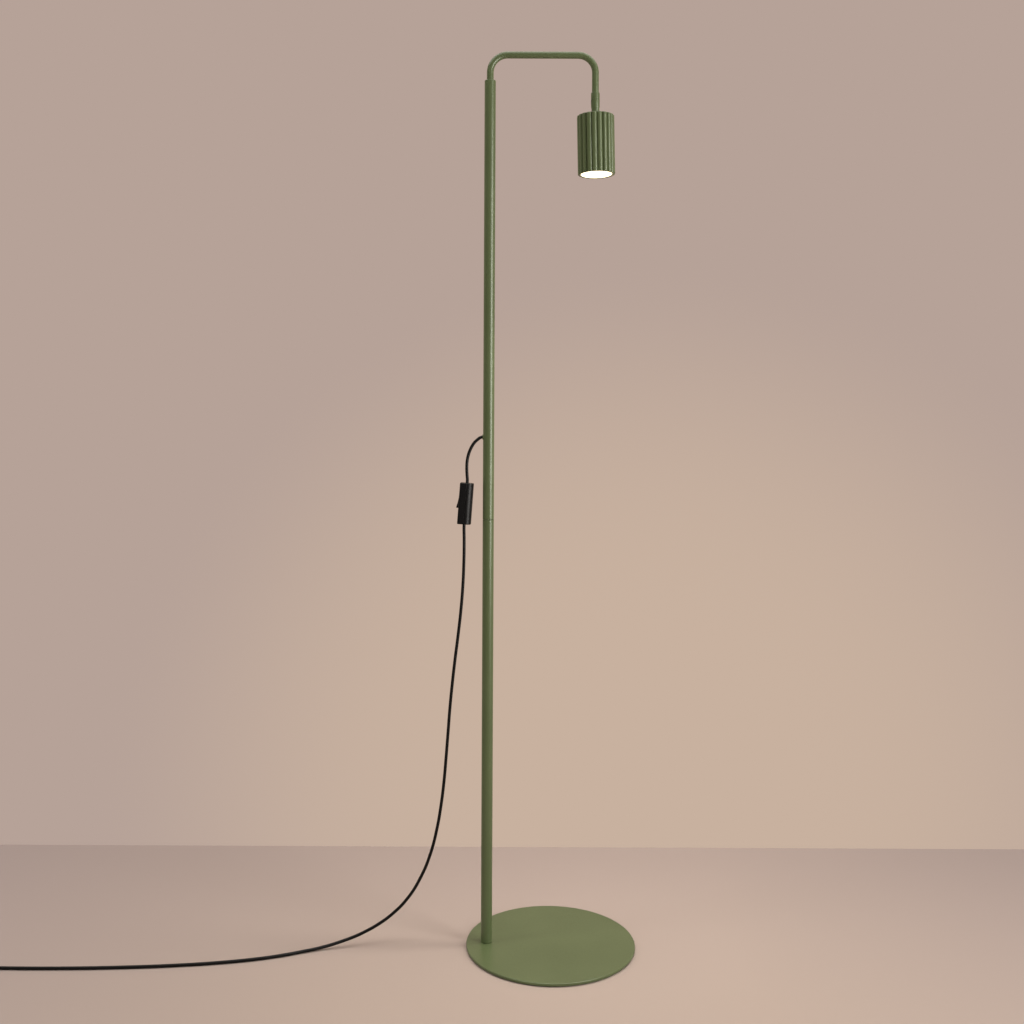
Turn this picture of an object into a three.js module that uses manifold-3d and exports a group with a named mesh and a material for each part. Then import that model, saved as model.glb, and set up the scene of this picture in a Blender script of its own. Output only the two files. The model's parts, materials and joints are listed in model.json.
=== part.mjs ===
// An adjustable arm floor lamp, in millimetres, +Z up.
//
// The origin is the centre of the base's underside, on the floor. The pole stands near
// the base's -X edge, and the arm reaches from the top of the pole over the base to +X,
// where the fluted head hangs. The mains cord leaves the pole on its -X side, passes an
// in-line rocker switch and runs along the floor to a coil and a flat two-pin plug.

import * as THREE from 'three';
import { mergeVertices } from 'three/addons/utils/BufferGeometryUtils.js';
import Module from 'manifold-3d';

const wasm = await Module();
wasm.setup();

// ---- driving dimensions ------------------------------------------------------------

const GAP = 0.3;
const ROUND = 28;
const DISC_ROUND = 72;

const BASE_DIAMETER = 270;
const PLATE_THICKNESS = 4;
const PLATE_EDGE = 1.2;
const PAD_THICKNESS = 1.2;
const PAD_INSET = 5;

const POLE_X = -103;
const POLE_DIAMETER = 18;
const POLE_WALL = 1.5;
const POLE_JOINT_Z = 684;
const POLE_TOP_Z = 1388.8;
const POLE_RIM = 0.5;
const CORD_EXIT_Z = 816.3;

const ARM_REACH = 169;
const ARM_DIAMETER = 11;
const ARM_WALL = 1.2;
const ARM_Z = 1430.5;
const ARM_BEND = 28;
const ARM_FOOT_Z = 1346;

const KNUCKLE_DIAMETER = 14;
const PIVOT_Z = 1353;
const COLLAR_TOP = 17;
const EAR_RADIUS = 6.9;
const SHOULDER_RADIUS = 7.25;
const TILT_LIMIT = 50;
const LAP_GAP = 0.5;

const HEAD_LEAN = 1.2;
const SHADE_DIAMETER = 60;
const SHADE_BORE = 52;
const SHADE_LENGTH = 94.5;
const SHADE_TOP = -20;
const RIBS = 20;
const RIB_RADIUS = 4.3;
const LAMP_DIAMETER = 49.8;

const SWITCH_X = -139.5;
const SWITCH_Z = 709.4;
const SWITCH_TILT = 4;
const SWITCH_LENGTH = 66;
const SWITCH_DEPTH = 22;
const SWITCH_WIDTH = 27;
const SWITCH_WALL = 1.8;
const ROCKER_LENGTH = 24;
const ROCKER_WIDTH = 13;
const ROCKER_PIVOT_X = -7.5;
const ROCKER_PIVOT_Z = 3.5;
const ROCKER_ANGLE = 9;

const CORD_DIAMETER = 5;
const COIL_X = -903;
const COIL_Y = -118;
const COIL_MIDDLE = 55;
const COIL_LAYERS = 2;
const PLUG_X = -933;
const PLUG_FACE_Y = -220;
const PLUG_Z = 7;

// ---- sizes worked out from them ----------------------------------------------------

const PLATE_BOTTOM = PAD_THICKNESS + GAP;
const PLATE_TOP = PLATE_BOTTOM + PLATE_THICKNESS;
const POLE_RADIUS = POLE_DIAMETER / 2;
const POLE_BORE = POLE_RADIUS - POLE_WALL;
const INSERT_RADIUS = POLE_BORE - 0.2;
const ARM_RADIUS = ARM_DIAMETER / 2;
const HEAD_X = POLE_X + ARM_REACH;
const KNUCKLE_RADIUS = KNUCKLE_DIAMETER / 2;
const SHADE_BOTTOM = SHADE_TOP - SHADE_LENGTH;
const CORD_RADIUS = CORD_DIAMETER / 2;

// ---- materials ---------------------------------------------------------------------

function finish(color, roughness, metalness) {
  return { color, roughness, metalness };
}

const OLIVE_PAINT = finish(0x565c3a, 0.42, 0.15);
const BARE_STEEL = finish(0x9a9a98, 0.35, 1.0);
const BRASS = finish(0xb8954a, 0.3, 1.0);
const BLACK_PLASTIC = finish(0x161616, 0.5, 0.0);
const BLACK_RUBBER = finish(0x121212, 0.65, 0.0);
const GREY_FELT = finish(0x3a3a38, 0.95, 0.0);
const NYLON = finish(0xd8d5c8, 0.55, 0.0);
const CERAMIC = finish(0xe9e5da, 0.4, 0.0);
const BULB_WHITE = finish(0xe6e4de, 0.35, 0.0);
const LAMP_GLOW = finish(0xfff6e2, 0.4, 0.0);
const LEAD_SHEATH = finish(0xf0eee6, 0.5, 0.0);

// ---- shape helpers -----------------------------------------------------------------

// A profile of [radius, height] pairs, revolved about Z. It runs anticlockwise, from the
// axis at the bottom to the axis at the top, or closes on its own first point.
function turned(profile, segments = ROUND) {
  const points = profile.map(([radius, height]) => new THREE.Vector2(radius, height));
  return new THREE.LatheGeometry(points, segments).rotateX(Math.PI / 2);
}

function rod(radius, bottom, top, segments = ROUND) {
  return turned([[0, bottom], [radius, bottom], [radius, top], [0, top]], segments);
}

function ring(outer, inner, bottom, top, segments = ROUND) {
  const profile = [[inner, bottom], [outer, bottom], [outer, top], [inner, top], [inner, bottom]];
  return turned(profile, segments);
}

// A tube with a small chamfer on the outer edge of both ends.
function poleTube(bottom, top) {
  const edge = POLE_RADIUS - POLE_RIM;
  const profile = [
    [POLE_BORE, bottom],
    [edge, bottom],
    [POLE_RADIUS, bottom + POLE_RIM],
    [POLE_RADIUS, top - POLE_RIM],
    [edge, top],
    [POLE_BORE, top],
    [POLE_BORE, bottom],
  ];
  return turned(profile);
}

function block(low, high) {
  const size = high.map((value, axis) => value - low[axis]);
  const middle = high.map((value, axis) => (value + low[axis]) / 2);
  return new THREE.BoxGeometry(...size).translate(...middle);
}

function alongX(geometry) {
  return geometry.rotateY(Math.PI / 2);
}

function alongY(geometry) {
  return geometry.rotateX(-Math.PI / 2);
}

function vector([x, y, z]) {
  return new THREE.Vector3(x, y, z);
}

// A path with one station at each given point, so straight stretches need no steps.
class StationCurve extends THREE.Curve {
  constructor(points) {
    super();
    this.points = points.map(vector);
  }

  getPoint(t, target = new THREE.Vector3()) {
    const last = this.points.length - 1;
    const index = Math.min(Math.floor(t * last), last - 1);
    return target.lerpVectors(this.points[index], this.points[index + 1], t * last - index);
  }

  getUtoTmapping(u) {
    return u;
  }
}

function sweptRound(curve, steps, radius, sides, boreRadius = 0) {
  const section = new THREE.Shape();
  section.absarc(0, 0, radius, 0, 2 * Math.PI);
  if (boreRadius > 0) {
    const bore = new THREE.Path();
    bore.absarc(0, 0, boreRadius, 0, 2 * Math.PI);
    section.holes.push(bore);
  }
  const options = { steps, extrudePath: curve, curveSegments: sides / 2 };
  return new THREE.ExtrudeGeometry(section, options);
}

function throughStations(points, radius, sides, boreRadius = 0) {
  return sweptRound(new StationCurve(points), points.length - 1, radius, sides, boreRadius);
}

function cordAlong(points, steps) {
  const curve = new THREE.CatmullRomCurve3(points.map(vector));
  return sweptRound(curve, steps, CORD_RADIUS, 8);
}

// A rectangle in the XY plane with its own corner radius on the -X and on the +X side.
function roundedSection(depth, width, frontRadius, backRadius) {
  const x = depth / 2;
  const y = width / 2;
  const shape = new THREE.Shape();
  shape.absarc(x - backRadius, -y + backRadius, backRadius, -Math.PI / 2, 0);
  shape.absarc(x - backRadius, y - backRadius, backRadius, 0, Math.PI / 2);
  shape.absarc(-x + frontRadius, y - frontRadius, frontRadius, Math.PI / 2, Math.PI);
  shape.absarc(-x + frontRadius, -y + frontRadius, frontRadius, Math.PI, 1.5 * Math.PI);
  return shape;
}

// ---- joining and cutting -----------------------------------------------------------

function toSolid(geometry) {
  geometry.deleteAttribute('normal');
  geometry.deleteAttribute('uv');
  const welded = mergeVertices(geometry);
  const corners = [];
  const index = welded.index.array;
  for (let first = 0; first < index.length; first += 3) {
    const [a, b, c] = index.slice(first, first + 3);
    if (a !== b && b !== c && c !== a) corners.push(a, b, c);
  }
  const mesh = new wasm.Mesh({
    numProp: 3,
    vertProperties: new Float32Array(welded.attributes.position.array),
    triVerts: new Uint32Array(corners),
  });
  return new wasm.Manifold(mesh);
}

function toGeometry(solid) {
  const mesh = solid.getMesh();
  const geometry = new THREE.BufferGeometry();
  geometry.setAttribute('position', new THREE.BufferAttribute(mesh.vertProperties, 3));
  geometry.setIndex(new THREE.BufferAttribute(mesh.triVerts, 1));
  geometry.computeVertexNormals();
  return geometry;
}

function cut(geometry, ...tools) {
  let solid = toSolid(geometry);
  for (const tool of tools) solid = solid.subtract(toSolid(tool));
  return toGeometry(solid);
}

function joined(...geometries) {
  let solid = toSolid(geometries[0]);
  for (const next of geometries.slice(1)) solid = solid.add(toSolid(next));
  return toGeometry(solid);
}

function common(geometry, tool) {
  return toGeometry(toSolid(geometry).intersect(toSolid(tool)));
}

// ---- the assembly ------------------------------------------------------------------

const lamp = new THREE.Group();

function place(parent, name, geometry, look) {
  const mesh = new THREE.Mesh(geometry, new THREE.MeshStandardMaterial(look));
  mesh.name = name;
  parent.add(mesh);
}

function group(x, y, z, leanDegrees = 0) {
  const holder = new THREE.Group();
  holder.position.set(x, y, z);
  holder.rotation.y = THREE.MathUtils.degToRad(leanDegrees);
  lamp.add(holder);
  return holder;
}

// ---- base --------------------------------------------------------------------------

const SCREW_HEAD_RADIUS = 6;
const SCREW_HEAD_DEPTH = 3;
const SCREW_RADIUS = 3;
const SCREW_BOTTOM = PLATE_BOTTOM + 0.5;
const SCREW_TOP = 26;

function basePad() {
  const radius = BASE_DIAMETER / 2 - PAD_INSET;
  const access = rod(SCREW_HEAD_RADIUS + 1, -1, PAD_THICKNESS + 1).translate(POLE_X, 0, 0);
  return cut(rod(radius, 0, PAD_THICKNESS, DISC_ROUND), access);
}

// A countersunk screw's outline, grown by a clearance when it cuts the screw's seat.
function countersunk(clearance, bottom, top) {
  const head = SCREW_HEAD_RADIUS + clearance;
  const shank = SCREW_RADIUS + clearance;
  const neck = SCREW_BOTTOM + SCREW_HEAD_DEPTH;
  const profile = [[0, bottom], [head, bottom], [head, SCREW_BOTTOM], [shank, neck], [shank, top], [0, top]];
  return turned(profile);
}

function basePlate() {
  const radius = BASE_DIAMETER / 2;
  const bend = PLATE_EDGE * (1 - Math.SQRT1_2);
  const profile = [
    [0, PLATE_BOTTOM],
    [radius - 0.5, PLATE_BOTTOM],
    [radius, PLATE_BOTTOM + 0.5],
    [radius, PLATE_TOP - PLATE_EDGE],
    [radius - bend, PLATE_TOP - bend],
    [radius - PLATE_EDGE, PLATE_TOP],
    [0, PLATE_TOP],
  ];
  const seat = countersunk(GAP, PLATE_BOTTOM - 1, PLATE_TOP + 1).translate(POLE_X, 0, 0);
  return cut(turned(profile, DISC_ROUND), seat);
}

function baseScrew() {
  const edge = 0.3;
  const socket = rod(2.3, SCREW_BOTTOM - 1, SCREW_BOTTOM + 2, 6);
  return cut(countersunk(0, SCREW_BOTTOM - edge, SCREW_TOP), socket);
}

function addBase() {
  place(lamp, 'base_pad', basePad(), GREY_FELT);
  place(lamp, 'base_plate', basePlate(), OLIVE_PAINT);
  const poleFoot = group(POLE_X, 0, 0);
  place(poleFoot, 'base_screw', baseScrew(), BARE_STEEL);
}

// ---- pole --------------------------------------------------------------------------

const FOOT_Z = PLATE_TOP + GAP;
const STUD_RADIUS = 4;
const BUSH_BOTTOM = 1357;
const LEAD_RADIUS = 2;
const ANCHOR_Z = 842;
const LEAD_TOP = ARM_FOOT_Z - 0.6;

// The bundle bends from the cord hole in the wall up to the pole's axis.
const LEAD_BEND = [
  [-6.3, 0, CORD_EXIT_Z],
  [-5.2, 0, CORD_EXIT_Z + 0.4],
  [-3.4, 0, CORD_EXIT_Z + 2],
  [-1.7, 0, CORD_EXIT_Z + 6],
  [-0.6, 0, CORD_EXIT_Z + 12],
  [0, 0, CORD_EXIT_Z + 20],
  [0, 0, LEAD_TOP],
];

function upperTube() {
  const hole = alongX(rod(3.7, -POLE_RADIUS - 1, 0, 24)).translate(0, 0, CORD_EXIT_Z);
  return cut(poleTube(POLE_JOINT_Z + GAP / 2, POLE_TOP_Z), hole);
}

// A bush through the tube's wall, with a thin flange outside.
function cordGrommet() {
  const bore = CORD_RADIUS + 0.4;
  const wall = -POLE_RADIUS - 0.1;
  const inside = -POLE_BORE + 0.6;
  const profile = [
    [bore, wall - 0.9],
    [3.9, wall - 0.9],
    [4.3, wall - 0.5],
    [4.3, wall],
    [3.4, wall],
    [3.4, inside],
    [bore, inside],
    [bore, wall - 0.9],
  ];
  return alongX(turned(profile, 20)).translate(0, 0, CORD_EXIT_Z);
}

function addPole() {
  const pole = group(POLE_X, 0, 0);
  const jointLow = POLE_JOINT_Z - GAP / 2;
  const jointHigh = POLE_JOINT_Z + GAP / 2;
  place(pole, 'pole_foot_insert', ring(INSERT_RADIUS, 3.2, FOOT_Z, 36), BARE_STEEL);
  place(pole, 'lower_tube', poleTube(FOOT_Z, jointLow), OLIVE_PAINT);
  place(pole, 'lower_joint_insert', ring(INSERT_RADIUS, 4.2, 656, jointLow), BARE_STEEL);
  place(pole, 'joint_stud', rod(STUD_RADIUS, 662, 706, 24), BARE_STEEL);
  place(pole, 'upper_joint_insert', ring(INSERT_RADIUS, 4.2, jointHigh, 712), BARE_STEEL);
  place(pole, 'upper_tube', upperTube(), OLIVE_PAINT);
  place(pole, 'cord_grommet', cordGrommet(), OLIVE_PAINT);
  place(pole, 'cord_anchor', ring(INSERT_RADIUS, 2.4, ANCHOR_Z, ANCHOR_Z + 12), NYLON);
  place(pole, 'pole_lead', throughStations(LEAD_BEND, LEAD_RADIUS, 8), LEAD_SHEATH);
  const bush = ring(INSERT_RADIUS, ARM_RADIUS + 0.1, BUSH_BOTTOM, POLE_TOP_Z - 0.5);
  place(pole, 'pole_top_bush', bush, NYLON);
  const thrust = ring(INSERT_RADIUS, ARM_RADIUS + GAP, BUSH_BOTTOM - 1.1, BUSH_BOTTOM - GAP);
  place(pole, 'thrust_washer', thrust, NYLON);
}

// ---- arm ---------------------------------------------------------------------------

const ARM_END_Z = PIVOT_Z + 9.8;
const BEND_STEPS = 7;

// Up from the pole, over a bend, across and down over a second bend, in the XZ plane.
function armStations(footZ, endZ) {
  const points = [[POLE_X, 0, footZ]];
  const bends = [
    { x: POLE_X + ARM_BEND, from: Math.PI },
    { x: HEAD_X - ARM_BEND, from: Math.PI / 2 },
  ];
  for (const bend of bends) {
    for (let step = 0; step <= BEND_STEPS; step += 1) {
      const angle = bend.from - (Math.PI / 2) * (step / BEND_STEPS);
      const x = bend.x + ARM_BEND * Math.cos(angle);
      const z = ARM_Z - ARM_BEND + ARM_BEND * Math.sin(angle);
      points.push([x, 0, z]);
    }
  }
  points.push([HEAD_X, 0, endZ]);
  return points;
}

function addArm() {
  const bore = ARM_RADIUS - ARM_WALL;
  const tube = throughStations(armStations(ARM_FOOT_Z, ARM_END_Z), ARM_RADIUS, 12, bore);
  place(lamp, 'arm_tube', tube, OLIVE_PAINT);
  const lead = throughStations(armStations(ARM_FOOT_Z, ARM_END_Z), LEAD_RADIUS, 6);
  place(lamp, 'arm_lead', lead, LEAD_SHEATH);
  const foot = group(POLE_X, 0, 0);
  const thread = ARM_RADIUS + 0.1;
  place(foot, 'arm_lock_nut', cut(rod(7.1, 1348.2, 1354, 6), rod(thread, 1340, 1360)), BARE_STEEL);
  place(foot, 'wave_washer', ring(7, thread + 0.1, 1354.3, 1355.5), BARE_STEEL);
}

// ---- knuckle -----------------------------------------------------------------------

// Everything here is placed from the pivot, whose axis lies along Y.

const SEAT_Y = 4.2;
const NUT_Y = -2.6;
const SHOULDER_STEPS = 8;

// The room that one half leaves beside its own ear for the other half's ear: round over
// the pivot, then straight down both sides at the angle where the tilt stops.
function earRoom(side, up) {
  const reach = KNUCKLE_RADIUS + 2;
  const first = THREE.MathUtils.degToRad(TILT_LIMIT + 2);
  const drop = (SHOULDER_RADIUS - reach * Math.cos(first)) / Math.sin(first);
  const outline = [[reach, -reach], [reach, drop]];
  for (let step = 0; step <= SHOULDER_STEPS; step += 1) {
    const angle = first + (Math.PI - 2 * first) * (step / SHOULDER_STEPS);
    outline.push([SHOULDER_RADIUS * Math.cos(angle), SHOULDER_RADIUS * Math.sin(angle)]);
  }
  outline.push([-reach, drop], [-reach, -reach]);
  const shape = new THREE.Shape(outline.map(([x, z]) => new THREE.Vector2(x, z)));
  const room = new THREE.ExtrudeGeometry(shape, { depth: reach, bevelEnabled: false });
  room.rotateX(Math.PI / 2).translate(0, side > 0 ? LAP_GAP : reach - LAP_GAP, 0);
  return up ? room : room.rotateY(Math.PI);
}

// One half of the lap joint: a round body, cut back beside the pivot to an ear that
// fills the given side of the lap and ends in a round of EAR_RADIUS.
function lapHalf(body, side, up) {
  const wide = KNUCKLE_RADIUS + 1;
  const tall = 40;
  const [low, high] = up ? [0, tall] : [-tall, 0];
  const rest = block([-wide, -wide, low], [wide, wide, high]);
  const ended = common(body, joined(rest, alongY(rod(EAR_RADIUS, -wide, wide))));
  return cut(ended, earRoom(side, up));
}

function knuckleUpper() {
  const radius = KNUCKLE_RADIUS;
  const top = COLLAR_TOP;
  const body = turned([
    [0, -EAR_RADIUS],
    [radius, -EAR_RADIUS],
    [radius, top - 0.8],
    [radius - 0.8, top],
    [0, top],
  ]);
  const socket = rod(ARM_RADIUS + 0.12, 9.4, top + 1);
  const wireWay = rod(2.4, 5, 10, 24);
  const screwHole = alongY(rod(1.6, 0, 9, 24));
  const headSeat = alongY(rod(3.1, SEAT_Y, 9, 24));
  return cut(lapHalf(body, 1, true), socket, wireWay, screwHole, headSeat);
}

function knuckleLower() {
  const radius = KNUCKLE_RADIUS;
  const neck = 6.3;
  const thread = 4.9;
  const seat = SHADE_TOP - 1.3;
  const body = turned([
    [0, -31],
    [thread, -31],
    [thread, seat],
    [neck, seat],
    [neck, -9.3],
    [radius, -5.6],
    [radius, EAR_RADIUS],
    [0, EAR_RADIUS],
  ]);
  const wireWay = rod(2.6, -32, -5, 24);
  const screwHole = alongY(rod(1.75, -4.6, 0, 24));
  const nutPocket = alongY(rod(3.4, NUT_Y - GAP, 0, 6));
  return cut(lapHalf(body, -1, false), wireWay, screwHole, nutPocket);
}

function knuckleScrew() {
  const under = SEAT_Y + 0.2;
  const shape = turned([[0, -4.2], [1.45, -4.2], [1.45, under], [2.75, under], [2.75, 6.3], [0, 6.3]], 24);
  const socket = rod(1.5, 5, 7, 6);
  return alongY(cut(shape, socket));
}

function addKnuckleTop() {
  const knuckle = group(HEAD_X, 0, PIVOT_Z);
  place(knuckle, 'knuckle_upper', knuckleUpper(), OLIVE_PAINT);
  place(knuckle, 'friction_disc', alongY(ring(5.8, 1.8, -0.3, 0.3)), NYLON);
}

// ---- head --------------------------------------------------------------------------

// Heights here are also measured from the knuckle's pivot, so they are negative.
const CAP_TOP = SHADE_TOP - 1.5;
const CAP_THICKNESS = 2.5;
const STRAP_TOP = CAP_TOP - CAP_THICKNESS - GAP;
const STRAP_THICKNESS = 1.3;
const STRAP_WIDTH = 12;
const STRAP_HALF = 17;
const STRAP_FOOT = -53;
const HOLDER_TOP = -42.5;
const HOLDER_FOOT = -62.5;
const HOLDER_RADIUS = 13.5;
const HOLDER_SCREW_Z = -48;
const PIN_SPACING = 10;
const RIB_STEPS = 5;

// Convex ribs side by side: each is an arc of RIB_RADIUS that meets its neighbours in
// a narrow groove, and a groove faces each of the four axes.
function fluteOutline() {
  const shape = new THREE.Shape();
  const centre = SHADE_DIAMETER / 2 - RIB_RADIUS;
  const half = Math.PI / RIBS;
  const spread = Math.asin((centre * Math.sin(half)) / RIB_RADIUS) + half;
  const points = [];
  for (let rib = 0; rib < RIBS; rib += 1) {
    const facing = half * (2 * rib + 1);
    for (let step = 0; step < RIB_STEPS; step += 1) {
      const angle = facing + spread * (2 * (step / RIB_STEPS) - 1);
      const x = centre * Math.cos(facing) + RIB_RADIUS * Math.cos(angle);
      const y = centre * Math.sin(facing) + RIB_RADIUS * Math.sin(angle);
      points.push(new THREE.Vector2(x, y));
    }
  }
  shape.setFromPoints(points);
  return shape;
}

function shade() {
  const outline = fluteOutline();
  const bore = new THREE.Path();
  bore.absarc(0, 0, SHADE_BORE / 2, 0, 2 * Math.PI);
  outline.holes.push(bore);
  const options = { depth: SHADE_LENGTH, bevelEnabled: false, curveSegments: 24 };
  return new THREE.ExtrudeGeometry(outline, options).translate(0, 0, SHADE_BOTTOM);
}

// A bent steel strap that hangs the lamp holder from the shank nut.
function holderBracket() {
  const inner = STRAP_HALF - STRAP_THICKNESS;
  const under = STRAP_TOP - STRAP_THICKNESS;
  const outline = [
    [-STRAP_HALF, STRAP_FOOT],
    [-inner, STRAP_FOOT],
    [-inner, under],
    [inner, under],
    [inner, STRAP_FOOT],
    [STRAP_HALF, STRAP_FOOT],
    [STRAP_HALF, STRAP_TOP],
    [-STRAP_HALF, STRAP_TOP],
  ];
  const shape = new THREE.Shape(outline.map(([x, z]) => new THREE.Vector2(x, z)));
  const options = { depth: STRAP_WIDTH, bevelEnabled: false };
  const strap = new THREE.ExtrudeGeometry(shape, options);
  strap.rotateX(Math.PI / 2).translate(0, STRAP_WIDTH / 2, 0);
  const shankHole = rod(5.2, STRAP_TOP - 3, STRAP_TOP + 1, 32);
  const screwHoles = alongX(rod(1.6, -20, 20, 16)).translate(0, 0, HOLDER_SCREW_Z);
  return cut(strap, shankHole, screwHoles);
}

function lampHolder() {
  const body = turned([
    [0, HOLDER_FOOT],
    [HOLDER_RADIUS, HOLDER_FOOT],
    [HOLDER_RADIUS, HOLDER_TOP + 1],
    [HOLDER_RADIUS - 1, HOLDER_TOP],
    [0, HOLDER_TOP],
  ]);
  const slots = [-1, 1].map((side) => {
    const slot = rod(3.1, HOLDER_FOOT - 1, HOLDER_FOOT + 10.5, 20);
    return slot.translate((side * PIN_SPACING) / 2, 0, 0);
  });
  const screwHoles = [-1, 1].map((side) => {
    const hole = alongX(rod(1.35, 8.5, 15, 16)).translate(0, 0, HOLDER_SCREW_Z);
    return side > 0 ? hole : hole.rotateZ(Math.PI);
  });
  return cut(body, ...slots, ...screwHoles);
}

function holderScrew(side) {
  const under = STRAP_HALF + 0.2;
  const top = under + 1.7;
  const shape = turned([[0, 9], [1.15, 9], [1.15, under], [2.6, under], [2.6, top], [0, top]], 20);
  const screw = alongX(shape).translate(0, 0, HOLDER_SCREW_Z);
  return side > 0 ? screw : screw.rotateZ(Math.PI);
}

function holderLead(side) {
  const points = [
    [side * 8.3, 0, -35],
    [side * 10.2, 0, -35.6],
    [side * 11.2, 0, -37.4],
    [side * 11.2, 0, -39.6],
    [side * 10.8, 0, HOLDER_TOP + GAP],
  ];
  return throughStations(points, 0.9, 8);
}

// The reflector lamp's body is a cup that the front cover closes.
function bulbBody() {
  const rim = LAMP_DIAMETER / 2;
  const profile = [
    [0, -73],
    [11, -73],
    [15, -84],
    [21.5, -99],
    [rim - 1, -106],
    [rim - 0.8, -112.6],
    [rim, -112.6],
    [rim, -105],
    [rim - 2, -98],
    [16.5, -83],
    [12.6, -72],
    [12.4, -65],
    [11.4, -63.2],
    [0, -63.2],
  ];
  return turned(profile);
}

function bulbPin(side) {
  const profile = [[0, -62.9], [1.5, -62.9], [1.5, -57.5], [2.4, -57.5], [2.4, -54.5], [0, -54.5]];
  return turned(profile, 16).translate((side * PIN_SPACING) / 2, 0, 0);
}

function addHead() {
  const head = group(HEAD_X, 0, PIVOT_Z, -HEAD_LEAN);
  const capFoot = CAP_TOP - CAP_THICKNESS;
  const rim = LAMP_DIAMETER / 2;
  place(head, 'knuckle_lower', knuckleLower(), OLIVE_PAINT);
  place(head, 'knuckle_screw', knuckleScrew(), BARE_STEEL);
  const nut = cut(rod(3.05, NUT_Y, -0.9, 6), rod(1.55, -3, 0, 24));
  place(head, 'knuckle_nut', alongY(nut), BARE_STEEL);
  place(head, 'head_cap', ring(SHADE_BORE / 2 - GAP, 5.2, capFoot, CAP_TOP), OLIVE_PAINT);
  place(head, 'shade', shade(), OLIVE_PAINT);
  place(head, 'holder_bracket', holderBracket(), BARE_STEEL);
  place(head, 'shank_nut', cut(rod(8.1, -30.6, -25.9, 6), rod(5.1, -32, -25, 32)), BARE_STEEL);
  place(head, 'head_lead', rod(LEAD_RADIUS, -31.7, -8, 8), LEAD_SHEATH);
  place(head, 'terminal_block', block([-8, -4.5, -38], [8, 4.5, -32]), NYLON);
  place(head, 'lamp_holder', lampHolder(), CERAMIC);
  for (const [number, side] of [[1, -1], [2, 1]]) {
    place(head, `holder_lead_${number}`, holderLead(side), LEAD_SHEATH);
    place(head, `holder_screw_${number}`, holderScrew(side), BARE_STEEL);
    place(head, `bulb_pin_${number}`, bulbPin(side), BARE_STEEL);
  }
  place(head, 'bulb_body', bulbBody(), BULB_WHITE);
  const cover = [[0, -114.1], [rim - 0.9, -114.1], [rim, -113.4], [rim, -112.9], [0, -112.9]];
  place(head, 'bulb_lens', turned(cover), LAMP_GLOW);
}

// ---- in-line switch ----------------------------------------------------------------

// Placed from the middle of the case: the rocker faces -X and the cord runs along Z.
const CASE_BEVEL = 0.9;
const CASE_SCREWS = [[8.4, 25], [8.4, -25]];
const PARTING = 0.15;
const CASE_FRONT_CORNER = 3;
const CASE_BACK_CORNER = 10;

function caseSolid(inset, length) {
  const depth = SWITCH_DEPTH - 2 * inset;
  const width = SWITCH_WIDTH - 2 * inset;
  const front = Math.max(CASE_FRONT_CORNER - inset, 1);
  const section = roundedSection(depth, width, front, CASE_BACK_CORNER - inset);
  const options = { depth: length, bevelEnabled: false, curveSegments: 3 };
  return new THREE.ExtrudeGeometry(section, options).translate(0, 0, -length / 2);
}

function bevelledCase() {
  const section = roundedSection(
    SWITCH_DEPTH - 2 * CASE_BEVEL,
    SWITCH_WIDTH - 2 * CASE_BEVEL,
    CASE_FRONT_CORNER - CASE_BEVEL,
    CASE_BACK_CORNER - CASE_BEVEL,
  );
  const options = {
    depth: SWITCH_LENGTH - 2 * CASE_BEVEL,
    bevelThickness: CASE_BEVEL,
    bevelSize: CASE_BEVEL,
    bevelSegments: 2,
    curveSegments: 3,
  };
  const length = SWITCH_LENGTH - 2 * CASE_BEVEL;
  return new THREE.ExtrudeGeometry(section, options).translate(0, 0, -length / 2);
}

function caseShell() {
  const hollow = caseSolid(SWITCH_WALL, SWITCH_LENGTH - 5);
  const cordWay = rod(CORD_RADIUS + 0.4, -40, 40, 20);
  return cut(bevelledCase(), hollow, cordWay);
}

function caseFront() {
  const half = block([-20, -20, -40], [-PARTING, 20, 40]);
  const bosses = CASE_SCREWS.map(([y, z]) => alongX(rod(2.8, -9.6, -PARTING, 12)).translate(0, y, z));
  const pilots = CASE_SCREWS.map(([y, z]) => alongX(rod(1.4, -8, 1, 12)).translate(0, y, z));
  const halfLength = ROCKER_LENGTH / 2 + 1.2;
  const halfWidth = ROCKER_WIDTH / 2 + 0.4;
  const window = block(
    [-15, -halfWidth, ROCKER_PIVOT_Z - halfLength],
    [-SWITCH_DEPTH / 2 + 3, halfWidth, ROCKER_PIVOT_Z + halfLength],
  );
  return cut(joined(common(caseShell(), half), ...bosses), ...pilots, window);
}

function caseBack() {
  const half = block([PARTING, -20, -40], [20, 20, 40]);
  const posts = CASE_SCREWS.map(([y, z]) => alongX(rod(3.4, PARTING, 7.5, 12)).translate(0, y, z));
  const seats = CASE_SCREWS.map(([y, z]) => alongX(rod(2.6, 4.3, 12, 12)).translate(0, y, z));
  const holes = CASE_SCREWS.map(([y, z]) => alongX(rod(1.6, -1, 5, 12)).translate(0, y, z));
  const whole = joined(common(caseShell(), half), ...posts);
  return cut(whole, ...seats, ...holes);
}

function caseScrew([y, z]) {
  const profile = [[0, -7.5], [1.2, -7.5], [1.2, 4.6], [2.3, 4.6], [2.3, 6.2], [0, 6.2]];
  return alongX(turned(profile, 16)).translate(0, y, z);
}

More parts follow.
